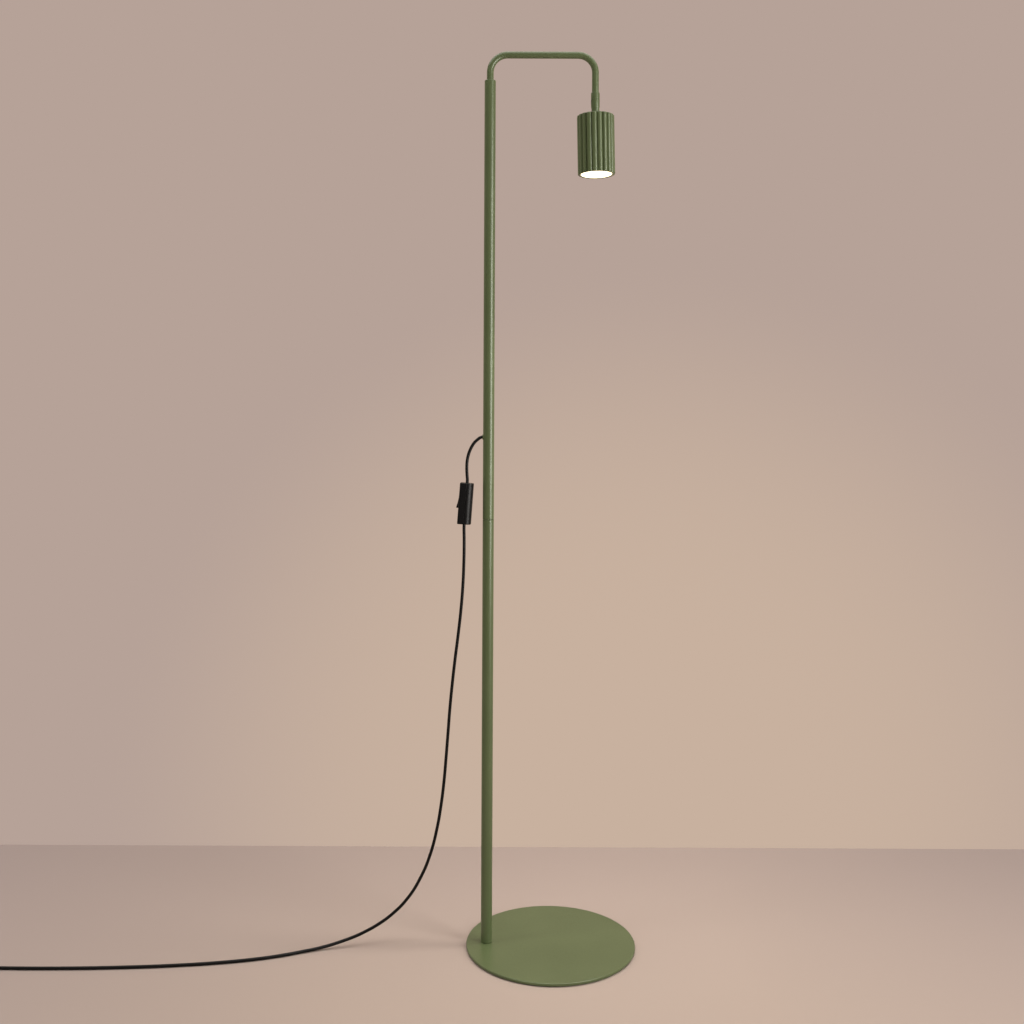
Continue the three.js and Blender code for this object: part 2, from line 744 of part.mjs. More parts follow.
// The rocker lies flat-faced across its pivot, pressed at its upper end.
function rocker() {
  const half = ROCKER_LENGTH / 2;
  const outline = [
    [-5.3, -half],
    [-5.3, half],
    [-1.4, half - 0.4],
    [2, 3],
    [2, -3],
    [-1.4, -half + 0.4],
  ];
  const shape = new THREE.Shape(outline.map(([x, z]) => new THREE.Vector2(x, z)));
  const options = { depth: ROCKER_WIDTH, bevelEnabled: false };
  const body = new THREE.ExtrudeGeometry(shape, options);
  body.rotateX(Math.PI / 2).translate(0, ROCKER_WIDTH / 2, 0);
  const pinHole = alongY(rod(1.15, -8, 8, 16));
  return cut(body, pinHole);
}

// A U-shaped moulding whose two ears hold the rocker's pin.
function switchFrame() {
  const floor = block([-3.4, -8.9, ROCKER_PIVOT_Z - 12], [-2.2, 8.9, ROCKER_PIVOT_Z + 12]);
  const ears = [-1, 1].map((side) => {
    const [near, far] = [side * 7.4, side * 8.9];
    const low = [-8.9, Math.min(near, far), ROCKER_PIVOT_Z - 2.6];
    return block(low, [-3, Math.max(near, far), ROCKER_PIVOT_Z + 2.6]);
  });
  const pinHole = alongY(rod(1.15, -12, 12, 16)).translate(ROCKER_PIVOT_X, 0, ROCKER_PIVOT_Z);
  return cut(joined(floor, ...ears), pinHole);
}

function contactBlade() {
  const outline = [[-1.8, -8], [-1.2, -8], [-1.2, 4], [1.0, 14], [0.4, 14], [-1.8, 4]];
  const shape = new THREE.Shape(outline.map(([x, z]) => new THREE.Vector2(x, z)));
  const blade = new THREE.ExtrudeGeometry(shape, { depth: 4, bevelEnabled: false });
  return blade.rotateX(Math.PI / 2).translate(0, 2, 0);
}

function addSwitch() {
  const inline = group(SWITCH_X, 0, SWITCH_Z, SWITCH_TILT);
  place(inline, 'switch_case_front', caseFront(), BLACK_PLASTIC);
  place(inline, 'switch_case_back', caseBack(), BLACK_PLASTIC);
  const pin = alongY(rod(1, -8.6, 8.6, 16)).translate(ROCKER_PIVOT_X, 0, ROCKER_PIVOT_Z);
  place(inline, 'rocker_pin', pin, BARE_STEEL);
  place(inline, 'switch_frame', switchFrame(), NYLON);
  place(inline, 'contact_blade', contactBlade(), BRASS);
  for (const [number, end] of [[1, 1], [2, -1]]) {
    const middle = end * 19;
    place(inline, `case_screw_${number}`, caseScrew(CASE_SCREWS[number - 1]), BARE_STEEL);
    const terminal = block([2, -3, middle - 3.5], [7, 3, middle + 3.5]);
    place(inline, `switch_terminal_${number}`, terminal, BRASS);
    const grip = block([3.1, -4.5, end * 27.5 - 2], [5.4, 4.5, end * 27.5 + 2]);
    place(inline, `cord_grip_${number}`, grip, BLACK_PLASTIC);
  }
  const tilted = new THREE.Group();
  tilted.position.set(ROCKER_PIVOT_X, 0, ROCKER_PIVOT_Z);
  tilted.rotation.y = THREE.MathUtils.degToRad(ROCKER_ANGLE);
  inline.add(tilted);
  place(tilted, 'switch_rocker', rocker(), BLACK_PLASTIC);
}

// ---- cord --------------------------------------------------------------------------

// From the grommet's face, over and down into the top of the switch.
const UPPER_ROUTE = [
  [-113.4, 0, 816.2],
  [-116.7, 0, 815.1],
  [-121, 0, 811.9],
  [-125.7, 0, 807.4],
  [-129.6, 0, 801.6],
  [-133, 0, 794.6],
  [-135.7, 0, 786.5],
  [-137.4, 0, 777.5],
  [-137.9, 0, 766],
  [-137.5, 0, 756],
  [-136.9, 0, 747],
  [-137.4, 0, 739.8],
];

// From the bottom of the switch down to the floor and along it to the coil.
const RUN_ROUTE = [
  [-141.6, 0, 679.6],
  [-141.9, 0, 672],
  [-141.6, 0, 650],
  [-142, 0, 611],
  [-143.6, 0, 573],
  [-146.7, 0, 534],
  [-150.9, 0, 495.5],
  [-155.6, 0, 457],
  [-159.8, 0, 418],
  [-163.3, 0, 380],
  [-166.1, 0, 341],
  [-168.9, 0, 303],
  [-172.1, 0, 264],
  [-176.7, 0, 225],
  [-183.1, 0, 187],
  [-192.9, 0, 148],
  [-208.3, 0, 109.5],
  [-231, 0, 73],
  [-257, -0.3, 47],
  [-276.2, -1, 33.3],
  [-295.3, -2.5, 22.8],
  [-314.2, -5.5, 15],
  [-332.8, -10, 9.8],
  [-351.2, -15.6, 6],
  [-369, -22, 3.6],
  [-387, -28.8, 2.6],
  [-421.5, -43.6, 2.55],
  [-457, -55.4, 2.55],
  [-509.5, -67.4, 2.55],
  [-580.5, -77.8, 2.55],
  [-652, -84.1, 2.55],
  [-724, -87.7, 2.55],
  [-797, -88.9, 2.55],
  [-842, -88.5, 2.55],
  [-884.5, -88, 2.55],
];

// From the coil's last turn to the plug's strain relief.
const TAIL_ROUTE = [
  [-933, -138, 6.2],
  [-933, -147, 5.4],
  [-933, -156, 5.8],
  [PLUG_X, -165.7, PLUG_Z],
];

// A flat two-pin plug on its side of the coil, pins towards -Y.
function plugBody() {
  const half = [
    [15.6, 0],
    [17.2, 1.6],
    [17.2, 7],
    [13, 13],
    [10.8, 23],
    [6.2, 29],
  ];
  const right = half.map(([x, y]) => new THREE.Vector2(x, y));
  const left = half.map(([x, y]) => new THREE.Vector2(-x, y)).reverse();
  const thickness = 13.4;
  const bevel = 1.6;
  const options = {
    depth: thickness - 2 * bevel,
    bevelThickness: bevel,
    bevelSize: bevel,
    bevelOffset: -bevel,
    bevelSegments: 2,
  };
  const shape = new THREE.Shape([...right, ...left]);
  return new THREE.ExtrudeGeometry(shape, options).translate(0, 0, bevel - thickness / 2);
}

function plugRelief() {
  const bore = CORD_RADIUS + 0.2;
  const profile = [[bore, 29.3], [5, 29.3], [3.4, 54], [bore, 54], [bore, 29.3]];
  return alongY(turned(profile, 24));
}

function addCord() {
  place(lamp, 'cord_upper', cordAlong(UPPER_ROUTE, 12), BLACK_RUBBER);
  place(lamp, 'cord_run', cordAlong(RUN_ROUTE, 68), BLACK_RUBBER);
  const coil = group(COIL_X, COIL_Y, 0);
  const inner = COIL_MIDDLE / 2 - CORD_DIAMETER;
  const outer = COIL_MIDDLE / 2 + CORD_DIAMETER;
  const height = COIL_LAYERS * CORD_DIAMETER;
  place(coil, 'cord_coil', ring(outer, inner, 0, height), BLACK_RUBBER);
  place(lamp, 'cord_tail', cordAlong(TAIL_ROUTE, 4), BLACK_RUBBER);
  const plug = group(PLUG_X, PLUG_FACE_Y, PLUG_Z);
  place(plug, 'plug_body', plugBody(), BLACK_PLASTIC);
  place(plug, 'plug_relief', plugRelief(), BLACK_RUBBER);
  for (const [number, side] of [[1, -1], [2, 1]]) {
    const pin = turned([[0, -19], [1.3, -19], [2, -17.6], [2, -GAP], [0, -GAP]], 16);
    place(plug, `plug_pin_${number}`, alongY(pin).translate(side * 9.3, 0, 0), BARE_STEEL);
  }
}

addBase();
addPole();
addArm();
addKnuckleTop();
addHead();
addSwitch();
addCord();

export default lamp;
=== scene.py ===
import json
import math

import bmesh
import bpy
from mathutils import Matrix, Vector


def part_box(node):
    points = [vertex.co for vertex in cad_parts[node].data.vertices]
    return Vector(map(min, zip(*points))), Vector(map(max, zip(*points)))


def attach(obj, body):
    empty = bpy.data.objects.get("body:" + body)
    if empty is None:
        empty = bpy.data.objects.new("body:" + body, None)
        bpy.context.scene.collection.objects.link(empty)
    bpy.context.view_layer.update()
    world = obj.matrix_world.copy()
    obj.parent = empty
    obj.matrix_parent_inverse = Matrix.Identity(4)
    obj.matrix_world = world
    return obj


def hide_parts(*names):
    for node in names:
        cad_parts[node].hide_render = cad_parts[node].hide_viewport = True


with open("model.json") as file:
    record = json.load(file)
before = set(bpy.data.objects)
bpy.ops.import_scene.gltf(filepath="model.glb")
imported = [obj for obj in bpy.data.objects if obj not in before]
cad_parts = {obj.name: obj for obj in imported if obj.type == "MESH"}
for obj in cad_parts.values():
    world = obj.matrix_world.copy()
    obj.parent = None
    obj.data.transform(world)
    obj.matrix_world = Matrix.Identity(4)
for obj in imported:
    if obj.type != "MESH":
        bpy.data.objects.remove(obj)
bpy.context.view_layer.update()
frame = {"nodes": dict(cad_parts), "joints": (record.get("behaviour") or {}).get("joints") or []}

# The looks of an adjustable arm floor lamp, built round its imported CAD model: metres,
# +Z up, origin in the middle of the base's underside. Shapes are written in millimetres
# times MM where that is easier to read.

MM = 0.001
TINY = 1e-9

# ---- camera ------------------------------------------------------------------------

CAMERA_PLACE = (-0.0655, -1.774, 0.8278)
CAMERA_LENS = 38.805
CAMERA_SENSOR = 36
CAMERA_SHIFT = -0.0801
CAMERA_ROLL = 0.261


def make_camera():
    data = bpy.data.cameras.new("camera")
    data.sensor_width = CAMERA_SENSOR
    data.lens = CAMERA_LENS
    data.shift_y = CAMERA_SHIFT
    data.clip_start = 0.02
    data.clip_end = 200
    camera = bpy.data.objects.new("camera", data)
    bpy.context.scene.collection.objects.link(camera)
    level = Matrix.Rotation(math.radians(90), 4, "X")
    roll = Matrix.Rotation(math.radians(CAMERA_ROLL), 4, "Z")
    camera.matrix_world = Matrix.Translation(CAMERA_PLACE) @ level @ roll
    bpy.context.scene.camera = camera


make_camera()

# ---- materials ---------------------------------------------------------------------


def linear(red, green, blue, alpha=1.0):
    """An 8-bit display colour as the linear colour that shaders take."""
    channels = []
    for value in (red / 255, green / 255, blue / 255):
        if value <= 0.04045:
            channels.append(value / 12.92)
        else:
            channels.append(((value + 0.055) / 1.055) ** 2.4)
    return (*channels, alpha)


class Nodes:
    """A node tree with short ways to add the nodes that the room and materials share."""

    def __init__(self, tree):
        self.tree = tree

    def add(self, kind, **settings):
        node = self.tree.nodes.new(kind)
        for key, value in settings.items():
            setattr(node, key, value)
        return node

    def link(self, source, target):
        self.tree.links.new(source, target)

    def measured(self, operation, source, other):
        """The distance or dot product between a socket and a fixed vector."""
        node = self.add("ShaderNodeVectorMath", operation=operation)
        node.inputs[1].default_value = other
        self.link(source, node.inputs[0])
        return node.outputs["Value"]

    def ranged(self, source, low, high, start=0.3, end=0.7, curve="LINEAR"):
        """A value from low to high, as the source goes from start to end. Noise mostly
        stays between 0.3 and 0.7."""
        node = self.add("ShaderNodeMapRange", interpolation_type=curve)
        node.inputs["From Min"].default_value = start
        node.inputs["From Max"].default_value = end
        node.inputs["To Min"].default_value = low
        node.inputs["To Max"].default_value = high
        self.link(source, node.inputs["Value"])
        return node.outputs["Result"]

    def mixed(self, factor, first, second):
        """Two colours, or sockets that give colours, mixed by a factor socket."""
        node = self.add("ShaderNodeMix", data_type="RGBA")
        self.link(factor, node.inputs["Factor"])
        for value, socket in ((first, node.inputs[6]), (second, node.inputs[7])):
            if isinstance(value, tuple):
                socket.default_value = value
            else:
                self.link(value, socket)
        return node.outputs[2]


class Shader(Nodes):
    """A material's node tree, round its Principled BSDF."""

    def __init__(self, name):
        self.material = bpy.data.materials.new(name)
        self.material.use_nodes = True
        super().__init__(self.material.node_tree)
        self.bsdf = self.tree.nodes["Principled BSDF"]
        self.coordinates = self.add("ShaderNodeTexCoord").outputs["Object"]

    def stretched(self, scale):
        mapping = self.add("ShaderNodeMapping")
        mapping.inputs["Scale"].default_value = scale
        self.link(self.coordinates, mapping.inputs["Vector"])
        return mapping.outputs["Vector"]

    def noise(self, scale, detail=3, vector=None, roughness=0.5):
        node = self.add("ShaderNodeTexNoise")
        node.inputs["Scale"].default_value = scale
        node.inputs["Detail"].default_value = detail
        node.inputs["Roughness"].default_value = roughness
        self.link(vector or self.coordinates, node.inputs["Vector"])
        return node.outputs["Fac"]

    def bump(self, height, distance, strength, normal=None):
        node = self.add("ShaderNodeBump")
        node.inputs["Distance"].default_value = distance
        node.inputs["Strength"].default_value = strength
        self.link(height, node.inputs["Height"])
        if normal:
            self.link(normal, node.inputs["Normal"])
        return node.outputs["Normal"]

    def fixed(self, **values):
        """Values that are the same all over, set on the shader itself."""
        for key, value in values.items():
            self.bsdf.inputs[key.replace("_", " ")].default_value = value

    def painted(self, colour, roughness, normal):
        self.link(colour, self.bsdf.inputs["Base Color"])
        self.link(roughness, self.bsdf.inputs["Roughness"])
        self.link(normal, self.bsdf.inputs["Normal"])
        return self.material


def powder_coat(name, light, dark, roughness):
    """Satin powder coat: slow drifts of tone, a fine fleck and orange peel."""
    shader = Shader(name)
    drift = shader.noise(9, 2)
    fleck = shader.noise(1400, 2)
    peel = shader.noise(420, 2)
    colour = shader.mixed(shader.ranged(drift, 0.0, 1.0), light, dark)
    speckled = shader.mixed(shader.ranged(fleck, 0.0, 0.22), colour, dark)
    rough = shader.ranged(peel, roughness - 0.04, roughness + 0.05)
    skin = shader.bump(peel, 0.00003, 0.55)
    grain = shader.bump(fleck, 0.000008, 0.6, skin)
    shader.fixed(Specular_IOR_Level=0.45, Coat_Weight=0.04, Coat_Roughness=0.25)
    return shader.painted(speckled, rough, grain)


def moulded(name, light, dark, roughness, specular=0.5, grain=900):
    """Moulded plastic: a spark-eroded grain with faint flow marks."""
    shader = Shader(name)
    flow = shader.noise(30, 3, shader.stretched((1, 1, 0.3)))
    spark = shader.noise(grain, 3, roughness=0.6)
    colour = shader.mixed(shader.ranged(flow, 0.0, 1.0), light, dark)
    rough = shader.ranged(spark, roughness - 0.06, roughness + 0.08)
    shader.fixed(Specular_IOR_Level=specular)
    return shader.painted(colour, rough, shader.bump(spark, 0.00003, 0.6))


def plated(name, light, dark, roughness):
    """Bare or plated metal with fine drawn or turned lines."""
    shader = Shader(name)
    lines = shader.noise(500, 3, shader.stretched((1, 1, 12)))
    stain = shader.noise(60, 3)
    colour = shader.mixed(shader.ranged(stain, 0.0, 1.0), light, dark)
    rough = shader.ranged(lines, roughness - 0.08, roughness + 0.1)
    shader.fixed(Metallic=1.0)
    return shader.painted(colour, rough, shader.bump(lines, 0.00001, 0.5))


def felted(name, light, dark):
    """Pressed felt: matted fibres at two scales and a soft sheen."""
    shader = Shader(name)
    fibres = shader.noise(1600, 4, shader.stretched((1, 0.35, 1)), 0.7)
    mat = shader.noise(260, 4, roughness=0.7)
    colour = shader.mixed(shader.ranged(fibres, 0.0, 1.0), light, dark)
    rough = shader.ranged(mat, 0.85, 1.0)
    nap = shader.bump(mat, 0.0002, 0.6)
    shader.fixed(Sheen_Weight=0.3, Sheen_Roughness=0.5, Specular_IOR_Level=0.2)
    return shader.painted(colour, rough, shader.bump(fibres, 0.00008, 0.8, nap))


def glazed(name, light, dark, roughness, gloss):
    """Ceramic or glossy white plastic: faint mottling under a smooth skin."""
    shader = Shader(name)
    mottle = shader.noise(120, 3)
    skin = shader.noise(500, 2)
    colour = shader.mixed(shader.ranged(mottle, 0.0, 1.0), light, dark)
    rough = shader.ranged(skin, roughness - 0.05, roughness + 0.08)
    shader.fixed(Coat_Weight=gloss, Coat_Roughness=0.15, Subsurface_Weight=0.05)
    return shader.painted(colour, rough, shader.bump(skin, 0.00001, 0.5))


def glowing(name, inner, outer, strength):
    """The lit cover: its light is whitest in the middle and warmer towards the rim."""
    shader = Shader(name)
    low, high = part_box("bulb_lens")
    reach = (high.x - low.x) / 2
    away = shader.measured("DISTANCE", shader.coordinates, (low + high) / 2)
    edge = shader.ranged(away, 0.0, 1.0, 0.55 * reach, reach)
    frost = shader.noise(900, 2)
    light = shader.mixed(edge, inner, outer)
    shader.link(light, shader.bsdf.inputs["Emission Color"])
    shader.fixed(Emission_Strength=strength)
    rough = shader.ranged(frost, 0.3, 0.45)
    return shader.painted(light, rough, shader.bump(frost, 0.00002, 0.5))


# Each slot's kind, its lighter and darker tone as display colours, and its roughness.
# Plastics can add their specular level and the scale of their grain, glazes add their
# gloss, and the lit cover has a strength in place of a roughness.
RECIPES = {
    "olive_paint": (powder_coat, (83, 94, 62), (76, 87, 56), 0.35),
    "olive_plastic": (moulded, (85, 96, 62), (78, 89, 56), 0.4),
    "zinc_steel": (plated, (196, 196, 192), (168, 168, 162), 0.32),
    "black_steel": (plated, (46, 45, 43), (30, 30, 29), 0.42),
    "felt": (felted, (66, 66, 63), (40, 40, 38)),
    "nylon": (moulded, (222, 218, 205), (206, 202, 188), 0.5),
    "lead_sheath": (moulded, (232, 229, 220), (214, 210, 198), 0.45),
    "holder_ceramic": (glazed, (238, 233, 220), (224, 218, 203), 0.3, 0.4),
    "bulb_white": (glazed, (236, 233, 226), (226, 222, 212), 0.35, 0.1),
    "lamp_glow": (glowing, (255, 252, 244), (255, 236, 190), 3.0),
    "switch_black": (moulded, (12, 12, 13), (8, 8, 9), 0.4, 0.24),
    "rocker_black": (moulded, (12, 12, 12), (8, 8, 8), 0.32, 0.28),
    "contact_brass": (plated, (196, 164, 92), (168, 136, 70), 0.3),
    "cord_black": (moulded, (10, 10, 10), (6, 6, 6), 0.45, 0.2, 1500),
    "plug_black": (moulded, (20, 20, 20), (14, 14, 14), 0.48, 0.4),
    "nickel_pin": (plated, (206, 202, 192), (186, 181, 170), 0.22),
}
MATERIALS = {
    slot: kind(slot, linear(*light), linear(*dark), *values)
    for slot, (kind, light, dark, *values) in RECIPES.items()
}

# ---- cords -------------------------------------------------------------------------

CORD_RADIUS = 0.0025

# From inside the pole's bush, over and down into the top of the switch.
TOP_ROUTE = [
    (-0.1105, 0.0, 0.8163),
    (-0.1134, 0.0, 0.8162),
    (-0.1167, 0.0, 0.8151),
    (-0.1210, 0.0, 0.8119),
    (-0.1257, 0.0, 0.8074),
    (-0.1296, 0.0, 0.8016),
    (-0.1330, 0.0, 0.7946),
    (-0.1357, 0.0, 0.7865),
    (-0.1374, 0.0, 0.7775),
    (-0.1379, 0.0, 0.7660),
    (-0.1375, 0.0, 0.7560),
    (-0.1369, 0.0, 0.7470),
    (-0.1374, 0.0, 0.7398),
]

# From the bottom of the switch down to the floor and along it to the coil.
RUN_ROUTE = [
    (-0.1416, 0.0, 0.6796),
    (-0.1419, 0.0, 0.6720),
    (-0.1416, 0.0, 0.6500),
    (-0.1420, 0.0, 0.6110),
    (-0.1436, 0.0, 0.5730),
    (-0.1467, 0.0, 0.5340),
    (-0.1509, 0.0, 0.4955),
    (-0.1556, 0.0, 0.4570),
    (-0.1598, 0.0, 0.4180),
    (-0.1633, 0.0, 0.3800),
    (-0.1661, 0.0, 0.3410),
    (-0.1689, 0.0, 0.3030),
    (-0.1721, 0.0, 0.2640),
    (-0.1767, 0.0, 0.2250),
    (-0.1831, 0.0, 0.1870),
    (-0.1929, 0.0, 0.1480),
    (-0.2083, 0.0, 0.1095),
    (-0.2310, 0.0, 0.0730),
    (-0.2570, -0.0003, 0.0470),
    (-0.2762, -0.0010, 0.0333),
    (-0.2953, -0.0025, 0.0228),
    (-0.3142, -0.0055, 0.0150),
    (-0.3328, -0.0100, 0.0098),
    (-0.3512, -0.0156, 0.0060),
    (-0.3690, -0.0220, 0.0038),
    (-0.3870, -0.0288, 0.0029),
    (-0.4215, -0.0436, 0.0027),
    (-0.4570, -0.0554, 0.0027),
    (-0.5095, -0.0674, 0.0027),
    (-0.5805, -0.0778, 0.0027),
    (-0.6520, -0.0841, 0.0027),
    (-0.7240, -0.0877, 0.0027),
    (-0.7970, -0.0889, 0.0027),
    (-0.8420, -0.0885, 0.0027),
]

# From the coil's last turn into the plug's strain relief.
TAIL_ROUTE = [
    (-0.9330, -0.1380, 0.0066),
    (-0.9330, -0.1470, 0.0057),
    (-0.9330, -0.1560, 0.0058),
    (-0.9330, -0.1657, 0.0070),
    (-0.9330, -0.1800, 0.0070),
]

# The coil lies a strap's thickness above the floor, because its tie goes under it.
COIL_LIFT = 0.0005
COIL_INNER = 0.025
COIL_OUTER = 0.030
COIL_LOW = 0.00255 + COIL_LIFT
COIL_HIGH = COIL_LOW + 0.0051
COIL_STEP = 18
TIE_ANGLE = 135

# Each stretch of the coil: the angle where it ends, and the radius and height there.
COIL_STRETCHES = [
    (360, COIL_OUTER, COIL_LOW),
    (450, COIL_INNER, COIL_LOW),
    (702, COIL_INNER, COIL_LOW),
    (774, COIL_INNER, COIL_HIGH),
    (1008, COIL_INNER, COIL_HIGH),
    (1098, COIL_OUTER, COIL_HIGH),
    (1260, COIL_OUTER, COIL_HIGH),
]


def eased(share):
    return share * share * (3 - 2 * share)


def coil_route():
    """The turns of the coil, from the top of the ring round to its -X side."""
    low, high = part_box("cord_coil")
    middle = (low + high) / 2
    start, radius, height = 90, COIL_OUTER, COIL_LOW
    turns = []
    for end, next_radius, next_height in COIL_STRETCHES:
        steps = round((end - start) / COIL_STEP)
        for step in range(steps):
            share = eased(step / steps)
            r = radius + (next_radius - radius) * share
            z = height + (next_height - height) * share
            turns.append((start + (end - start) * step / steps, r, z))
        start, radius, height = end, next_radius, next_height
    turns.append((start, radius, height))
    points = []
    for degrees, r, z in turns:
        angle = math.radians(degrees)
        points.append((middle.x + r * math.cos(angle), middle.y + r * math.sin(angle), z))
    return points


def make_cord(name, points, *nodes):
    data = bpy.data.curves.new(name, "CURVE")
    data.dimensions = "3D"
    data.bevel_depth = CORD_RADIUS
    data.bevel_resolution = 6
    data.resolution_u = 10
    data.use_fill_caps = True
    spline = data.splines.new("BEZIER")
    spline.bezier_points.add(len(points) - 1)
    for knot, point in zip(spline.bezier_points, points):
        knot.co = point
        knot.handle_left_type = "AUTO"
        knot.handle_right_type = "AUTO"
    cord = bpy.data.objects.new(name, data)
    bpy.context.scene.collection.objects.link(cord)
    data.materials.append(MATERIALS["cord_black"])
    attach(cord, "stand")
    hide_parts(*nodes)
    return cord


top_cord = make_cord("flex_top", TOP_ROUTE, "cord_upper")
main_route = RUN_ROUTE + coil_route() + TAIL_ROUTE
main_cord = make_cord("flex_main", main_route, "cord_run", "cord_coil", "cord_tail")

# ---- mesh helpers ------------------------------------------------------------------


def fillet(corners, steps=5):
    """A 2-D outline from (x, y, radius) corners, each rounded by its own radius."""
    points = []
    for index, (x, y, radius) in enumerate(corners):
        here = Vector((x, y))
        if radius < TINY:
            points.append((x, y))
            continue
        before = (Vector(corners[index - 1][:2]) - here).normalized()
        after = (Vector(corners[(index + 1) % len(corners)][:2]) - here).normalized()
        half = before.angle(after) / 2
        centre = here + (before + after).normalized() * radius / math.sin(half)
        first = here + before * radius / math.tan(half) - centre
        turn = first.angle_signed(here + after * radius / math.tan(half) - centre)
        start = math.atan2(first.y, first.x)
        for step in range(steps + 1):
            angle = start - turn * step / steps
            points.append((centre.x + radius * math.cos(angle), centre.y + radius * math.sin(angle)))
    return points


def scaled(points, factor=MM):
    return [tuple(value * factor for value in point) for point in points]


def lathe(profile, segments):
    """Turns (radius, height) points about Z. The profile starts and ends on the axis,
    or joins its own start."""
    bm = bmesh.new()
    rings = []
    for radius, height in profile:
        if radius < TINY:
            rings.append([bm.verts.new((0, 0, height))])
            continue
        ring = []
        for side in range(segments):
            angle = 2 * math.pi * side / segments
            ring.append(bm.verts.new((radius * math.cos(angle), radius * math.sin(angle), height)))
        rings.append(ring)
    if len(rings[0]) > 1:
        rings.append(rings[0])
    for low, high in zip(rings, rings[1:]):
        for side in range(segments):
            following = (side + 1) % segments
            around = [low[side % len(low)], low[following % len(low)]]
            around += [high[following % len(high)], high[side % len(high)]]
            bm.faces.new(list(dict.fromkeys(around)))
    return bm


def skin(sections, wrap=False):
    """Joins closed outlines of equal count; wrap joins the last to the first, and
    otherwise both ends are capped."""
    bm = bmesh.new()
    rows = [[bm.verts.new(point) for point in section] for section in sections]
    if wrap:
        rows.append(rows[0])
    else:
        bm.faces.new(rows[0][::-1])
        bm.faces.new(rows[-1])
    for low, high in zip(rows, rows[1:]):
        for side in range(len(low)):
            following = (side + 1) % len(low)
            bm.faces.new((low[side], low[following], high[following], high[side]))
    return bm


def prism(outline, low, high):
    """An outline in XY, extruded from low to high along Z."""
    return skin([[(x, y, z) for x, y in outline] for z in (low, high)])


def block(low, high):
    outline = [(low[0], low[1]), (high[0], low[1]), (high[0], high[1]), (low[0], high[1])]
    return prism(outline, low[2], high[2])


def rod(radius, low, high, segments=48):
    return lathe([(0, low), (radius, low), (radius, high), (0, high)], segments)


def turned_to(bm, axis):
    """A solid made along Z, turned so that its +Z points along +X or +Y."""
    turn = Matrix.Rotation(math.radians(90), 4, "Y")
    if axis == "Y":
        turn = Matrix.Rotation(math.radians(-90), 4, "X")
    bm.transform(turn)
    return bm


def moved(bm, x, y, z):
    bm.transform(Matrix.Translation((x, y, z)))
    return bm


def as_object(name, bm):
    bmesh.ops.recalc_face_normals(bm, faces=bm.faces)
    mesh = bpy.data.meshes.new(name)
    bm.to_mesh(mesh)
    bm.free()
    made = bpy.data.objects.new(name, mesh)
    bpy.context.scene.collection.objects.link(made)
    return made


def solid(bm, operation, *tools):
    """The solid after a boolean with each tool in turn; the tools are used up."""
    body = as_object("work", bm)
    cutters = [as_object("tool", tool) for tool in tools]
    for cutter in cutters:
        modifier = body.modifiers.new("boolean", "BOOLEAN")
        modifier.operation = operation
        modifier.solver = "EXACT"
        modifier.object = cutter
    bpy.context.view_layer.update()
    shown = body.evaluated_get(bpy.context.evaluated_depsgraph_get())
    result = bmesh.new()
    result.from_mesh(shown.to_mesh())
    shown.to_mesh_clear()
    for used in (body, *cutters):
        mesh = used.data
        bpy.data.objects.remove(used)
        bpy.data.meshes.remove(mesh)
    bmesh.ops.remove_doubles(result, verts=result.verts, dist=0.002 * MM)
    return result


def cut(bm, *tools):
    return solid(bm, "DIFFERENCE", *tools)


def join(bm, *tools):
    return solid(bm, "UNION", *tools)


def limit(bm, *tools):
    return solid(bm, "INTERSECT", *tools)


SHARP = math.radians(32)


def add(name, bm, body, slot, nodes=(), place=None, edge=0.0):
    """A finished piece: placed, softened along its edges, painted and riding."""
    if place:
        bm.transform(place)
    piece = as_object(name, bm)
    piece.data.shade_smooth()
    if edge:
        bevel = piece.modifiers.new("edge", "BEVEL")
        bevel.width = edge
        bevel.segments = 3
        bevel.limit_method = "ANGLE"
        bevel.angle_limit = SHARP
        bevel.use_clamp_overlap = False
        bevel.miter_outer = "MITER_ARC"
    else:
        piece.data.set_sharp_from_angle(angle=SHARP)
    weighted = piece.modifiers.new("normals", "WEIGHTED_NORMAL")
    weighted.keep_sharp = True
    piece.data.materials.append(MATERIALS[slot])
    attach(piece, body)
    if nodes:
        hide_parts(*nodes)
    return piece


# ---- base --------------------------------------------------------------------------

POLE_LOW, POLE_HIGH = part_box("lower_tube")
POLE_X = (POLE_LOW.x + POLE_HIGH.x) / 2
POLE_RADIUS = (POLE_HIGH.x - POLE_LOW.x) / 2
AT_POLE = Matrix.Translation((POLE_X, 0, 0))


